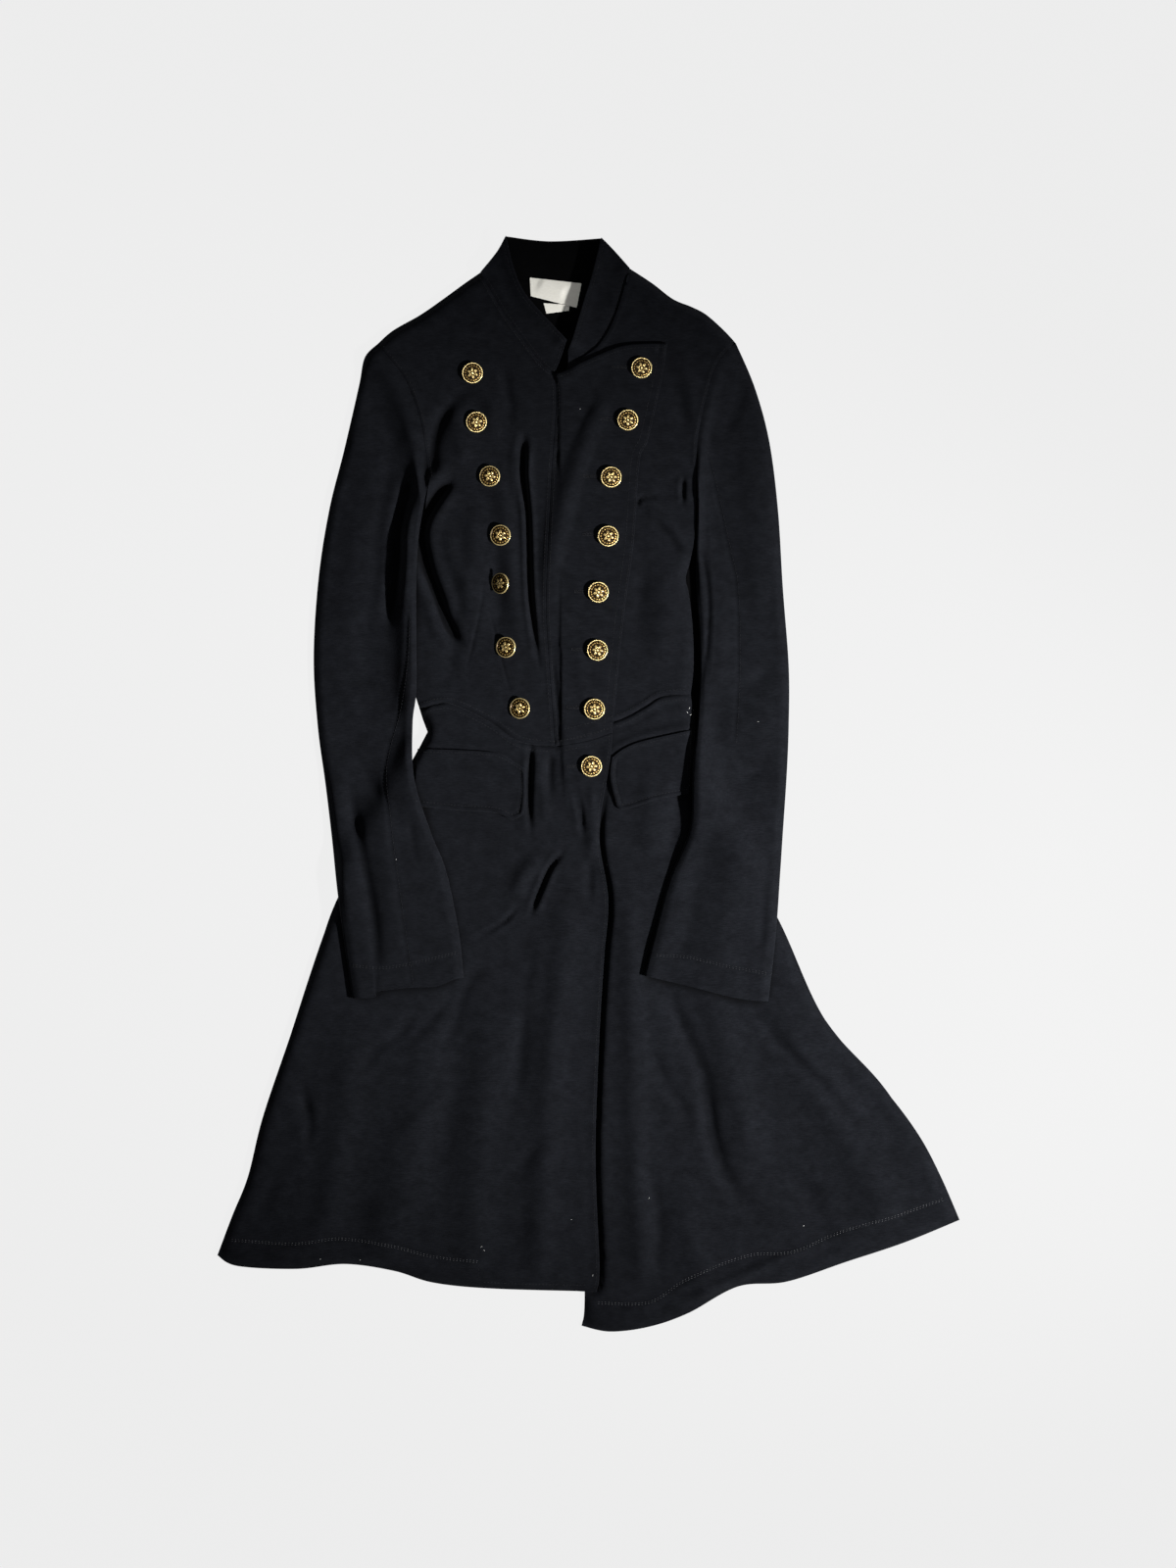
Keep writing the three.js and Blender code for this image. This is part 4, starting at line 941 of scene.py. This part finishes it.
# What each piece stands for
for name, grid in grids.items():
    obj = pieces[name]
    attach(obj, "root")
    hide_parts(name)
for side, ring in rings.items():
    obj = pieces[f"sleeve_{side}"]
    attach(obj, "root")
    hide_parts(f"sleeve_{side}_top", f"sleeve_{side}_under")


# Finding the cloth from above
def ray_tree(objects):
    points, faces = [], []
    for obj in objects:
        start = len(points)
        points += [vertex.co.copy() for vertex in obj.data.vertices]
        faces += [[start + k for k in polygon.vertices] for polygon in obj.data.polygons]
    return BVHTree.FromPolygons(points, faces)


cloth_tree = ray_tree(pieces.values())


def on_cloth(x, y):
    """The place and the upward normal of the topmost cloth at x, y, in millimetres."""
    hit, normal, _, _ = cloth_tree.ray_cast(Vector((x * MM, y * MM, 0.1)), Vector((0, 0, -1)))
    if hit is None:
        return None, None
    return np.array(hit) / MM, np.array(normal if normal.z > 0 else -normal)


# Sewing
def thread_mesh(start, end, up, radius):
    """A short thread that dips into the cloth at both ends."""
    along = end - start
    side = np.cross(up, along)
    side = side / np.linalg.norm(side) * radius
    lift = up * radius
    points = []
    for t, size, rise in ((0.0, 0.35, -0.5), (0.22, 1.0, 0.45), (0.78, 1.0, 0.45), (1.0, 0.35, -0.5)):
        middle = start + along * t + lift * rise
        for corner in range(THREAD_SIDES):
            turn = corner * 2 * math.pi / THREAD_SIDES
            points.append(middle + (side * math.cos(turn) + lift * math.sin(turn)) * size)
    ring = range(THREAD_SIDES)
    faces = [
        (THREAD_SIDES * k + i, THREAD_SIDES * k + (i + 1) % THREAD_SIDES,
         THREAD_SIDES * (k + 1) + (i + 1) % THREAD_SIDES, THREAD_SIDES * (k + 1) + i)
        for k in range(3) for i in ring
    ]
    return points, faces + [tuple(reversed(ring)), tuple(3 * THREAD_SIDES + i for i in ring)]


def threads(name, ends, material, radius):
    """One object of short threads, each between a pair of places on the cloth."""
    points, faces = [], []
    for first, last in ends:
        (start, up), (end, _) = on_cloth(*first), on_cloth(*last)
        if start is None or end is None or abs(start[2] - end[2]) > 2:
            continue
        new_points, new_faces = thread_mesh(start, end, up, radius)
        faces += [[k + len(points) for k in face] for face in new_faces]
        points += new_points
    obj = new_object(name, points, faces, material)
    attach(obj, "root")
    return obj


def stitches(line, pitch=3.5, length=2.6):
    """The ends of the stitches along a line."""
    route, run = dense_line(line)
    ends = []
    for at in np.arange(pitch / 2, run[-1] - length, pitch):
        ends.append([[np.interp(s, run, route[:, k]) for k in (0, 1)] for s in (at, at + length)])
    return ends


def sew(name, lines, material=None, radius=0.2, **spacing):
    ends = [pair for line in lines for pair in stitches(line, **spacing)]
    return threads(name, ends, material or THREAD, radius)


def double_row(line, gap=1.8):
    return [beside(line, gap / 2), beside(line, -gap / 2)]


sew("topstitch_front", [
    beside(OVERLAP_EDGE, -8.5), beside(OVERLAP_EDGE, -2.0), beside(OVERLAP_TOP, -4.0),
    beside(CENTRE_FRONT, 3.0), beside(CENTRE_FRONT, -3.0), beside(OPENING, -3.0),
])
sew("topstitch_waist", [
    beside(line, off) for line in (WAIST_R, WAIST_CENTRE, WAIST_L) for off in (5.2, -5.2)
])
sew("topstitch_flaps", [beside(line, off) for line, off in (
    (FLAP_BOTTOM_R, 5), (FLAP_INNER_R, -5), (FLAP_TOP_R, -3),
    (FLAP_BOTTOM_L, 5), (FLAP_INNER_L, 5), (FLAP_TOP_L, -3),
)])
sew("topstitch_collar", [beside(line, off) for line, off in (
    (COLLAR_OPEN_R, -4), (COLLAR_OPEN_L, 4), (NECK_R, 3), (NECK_R, -3), (NECK_L, -3), (COLLAR_END_R, -3),
)])
sew("topstitch_sleeves", [beside(SLEEVE_SEAM_R, 2.5), beside(SLEEVE_SEAM_L, 2.5)])
sew("topstitch_armholes", [beside(ARMHOLE_R, 3), beside(ARMHOLE_L, -3)])
for name, line in (("hem_right", HEM_STITCH_R), ("hem_left", HEM_STITCH_L)):
    sew(f"stitches_{name}", double_row(line), PALE_THREAD, 0.26, pitch=3.4, length=1.3)
sew("stitches_facing", [FACING_STITCH, EDGE_STITCH])
for name, line in (("cuff_right", CUFF_STITCH_R), ("cuff_left", CUFF_STITCH_L)):
    sew(f"stitches_{name}", double_row(line), HEM_THREAD, 0.24, pitch=3.4, length=1.7)


def buttonhole(x, y, half):
    """Short bars on both sides of a slit and across its ends."""
    bars = []
    for k in range(int(2 * half / 0.9)):
        at = x - half + 0.45 + 0.9 * k
        bars += [((at, y + side * 0.2), (at, y + side * 1.7)) for side in (-1, 1)]
    bars += [((x + end * half, y - 1.5), (x + end * half, y + 1.5)) for end in (-1, 1)]
    return bars


threads("buttonholes", [bar for row in BUTTONHOLES for bar in buttonhole(*row)], THREAD, 0.26)
threads("lint", [((x, y), (x + dx, y + dy)) for x, y, dx, dy in LINT_FIBRES], LINT, 0.3)


# Buttons: a domed gilt disc with a plain rim round a ring of beads and a six-petalled rosette
def button_relief(r, angle):
    """The height of a button's face and how bright its gilt is, at a radius and an angle."""
    dome = 1.2 * (1 - (r / RIM_INSIDE) ** 2)
    reach = PETAL_REACH * np.abs(np.cos(PETALS / 2 * angle)) ** 0.55
    petals = 0.95 * smooth_step((reach - r) / 1.5) * smooth_step((r - 1.7) / 0.9)
    petals -= 0.4 * np.exp(-((np.sin(PETALS / 2 * angle) * r / 0.7) ** 2)) * smooth_step((5 - r) / 1.5)
    eye = 1.0 * smooth_step((1.5 - r) / 0.5)
    turn = (angle * BEADS / (2 * math.pi) + 0.5) % 1 - 0.5
    bead = (turn * 2 * math.pi * BEAD_RING / BEADS) ** 2 + (r - BEAD_RING) ** 2
    beads = 0.7 * np.sqrt(np.maximum(1 - bead / 0.95**2, 0))
    relief = np.where(r < 6.5, np.maximum(petals, eye), beads)
    across = (r - (RIM_INSIDE + BUTTON_RADIUS) / 2) / (BUTTON_RADIUS - RIM_INSIDE) * 2
    rim = 1.0 * np.sqrt(np.maximum(1 - across**6, 0)) + 0.1
    height = np.where(r < RIM_INSIDE, dome + relief, rim)
    mark = np.where(r < RIM_INSIDE, 0.04 + 0.8 * relief, 1.0)
    mark = np.where(np.abs(r - RIM_INSIDE) < 0.5, 0.0, mark)
    return height, np.clip(mark, 0, 1)


def button_mesh():
    """A domed shell on a shank, with its points, its faces and the gilt's brightness."""
    face = np.linspace(0.25, RIM_INSIDE - 0.15, 24)
    rim = np.linspace(RIM_INSIDE, BUTTON_RADIUS, 8)
    radii = np.concatenate([face, rim])
    angle = np.arange(BUTTON_SIDES) / BUTTON_SIDES * 2 * math.pi
    r, a = np.meshgrid(radii, angle, indexing="ij")
    height, mark = button_relief(r, a)
    top = np.dstack([r * np.cos(a), r * np.sin(a), height + SHELL_BACK + 1.2])
    profile = (
        (BUTTON_RADIUS, SHELL_BACK + 0.8), (BUTTON_RADIUS - 0.8, SHELL_BACK),
        (SHANK_RADIUS, SHELL_BACK), (SHANK_RADIUS, 0.0),
    )
    under = np.array([
        np.column_stack([q * np.cos(angle), q * np.sin(angle), np.full(BUTTON_SIDES, z)]) for q, z in profile
    ])
    surface = np.concatenate([top, under])
    marks = np.concatenate([mark, np.full((len(under), BUTTON_SIDES), 0.3)])
    rows = len(surface)
    count = rows * BUTTON_SIDES
    points = np.vstack([surface.reshape(-1, 3), [[0, 0, top[0, :, 2].mean()]], [[0, 0, 0]]])
    faces = quads(rows, BUTTON_SIDES, wrap=True)
    for i in range(BUTTON_SIDES):
        after = (i + 1) % BUTTON_SIDES
        faces.append((count, i, after))
        faces.append((count + 1, (rows - 1) * BUTTON_SIDES + after, (rows - 1) * BUTTON_SIDES + i))
    return points, faces, np.concatenate([marks.ravel(), [0.9, 0.3]])


def button_seat(x, y, lean):
    """Where a button's base lies and how it is turned, clear of the cloth below it."""
    probe = BUTTON_RADIUS * 0.8
    sides = ((probe, 0), (-probe, 0), (0, probe), (0, -probe))
    east, west, north, south = [on_cloth(x + dx, y + dy)[0][2] for dx, dy in sides]
    slope = Vector((west - east, south - north, 2 * probe)).normalized()
    turn = Quaternion((0, 1, 0), -math.radians(lean)) @ Vector((0, 0, 1)).rotation_difference(slope)
    base = on_cloth(x, y)[0][2]
    backs = ((1.5, 0), (SHANK_RADIUS, 0), (6, SHELL_BACK), (9, SHELL_BACK), (BUTTON_RADIUS, 1.9))
    for radius, back_height in backs:
        for k in range(16):
            angle = k * math.pi / 8
            place = turn @ Vector((radius * math.cos(angle), radius * math.sin(angle), back_height))
            base = max(base, on_cloth(x + place.x, y + place.y)[0][2] - place.z)
    return base + 0.2, turn


button_points, button_faces, button_marks = button_mesh()
for side, rows in BUTTONS.items():
    for k, (x, y, lean) in enumerate(rows, 1):
        base, turn = button_seat(x, y, lean)
        spin = Quaternion((0, 0, 1), math.radians(37 * k + (11 if side == "left" else 0)))
        matrix = np.array((turn @ spin).to_matrix())
        placed = button_points @ matrix.T + np.array([x, y, base])
        name = f"button_{side}_{k}"
        obj = new_object(f"gilt_{name}", placed, button_faces, GILT)
        store(obj, "relief", button_marks)
        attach(obj, "root")
        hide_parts(name)

# Lights and camera
world = bpy.data.worlds.new("soft_room")
world.use_nodes = True
world.node_tree.nodes["Background"].inputs["Color"].default_value = (0.93, 0.96, 1.0, 1)
world.node_tree.nodes["Background"].inputs["Strength"].default_value = 0.06
bpy.context.scene.world = world


def lamp(name, kind, place, aim, power):
    light = bpy.data.lights.new(name, kind)
    light.energy = power
    obj = bpy.data.objects.new(name, light)
    obj.location = place
    obj.rotation_euler = (Vector(aim) - Vector(place)).to_track_quat("-Z", "Y").to_euler()
    bpy.context.scene.collection.objects.link(obj)
    return light


# The key comes low from the lower right and dies away round its middle; the other fills from above
key = lamp("lamp_key", "SPOT", place=(2.2, -0.8, 1.75), aim=(0.16, -0.11, 0), power=1050)
key.spot_size = math.radians(27.5)
key.spot_blend = 1.0
key.shadow_soft_size = 0.09
over = lamp("lamp_over", "AREA", place=(0.2, 0.2, 8.5), aim=(0, 0, 0), power=90)
over.shape = "DISK"
over.size = 1.5

CAMERA_LENS = 150
CAMERA_SENSOR = 36
FRAME_HEIGHT = 1.598  # metres that the picture covers at the floor
camera_data = bpy.data.cameras.new("camera")
camera_data.lens = CAMERA_LENS
camera_data.sensor_fit = "AUTO"
camera_data.sensor_width = CAMERA_SENSOR
camera = bpy.data.objects.new("camera", camera_data)
camera.location = (-0.0005, 0, FRAME_HEIGHT * CAMERA_LENS / CAMERA_SENSOR)
bpy.context.scene.collection.objects.link(camera)
bpy.context.scene.camera = camera
bpy.context.scene.view_settings.view_transform = "Standard"
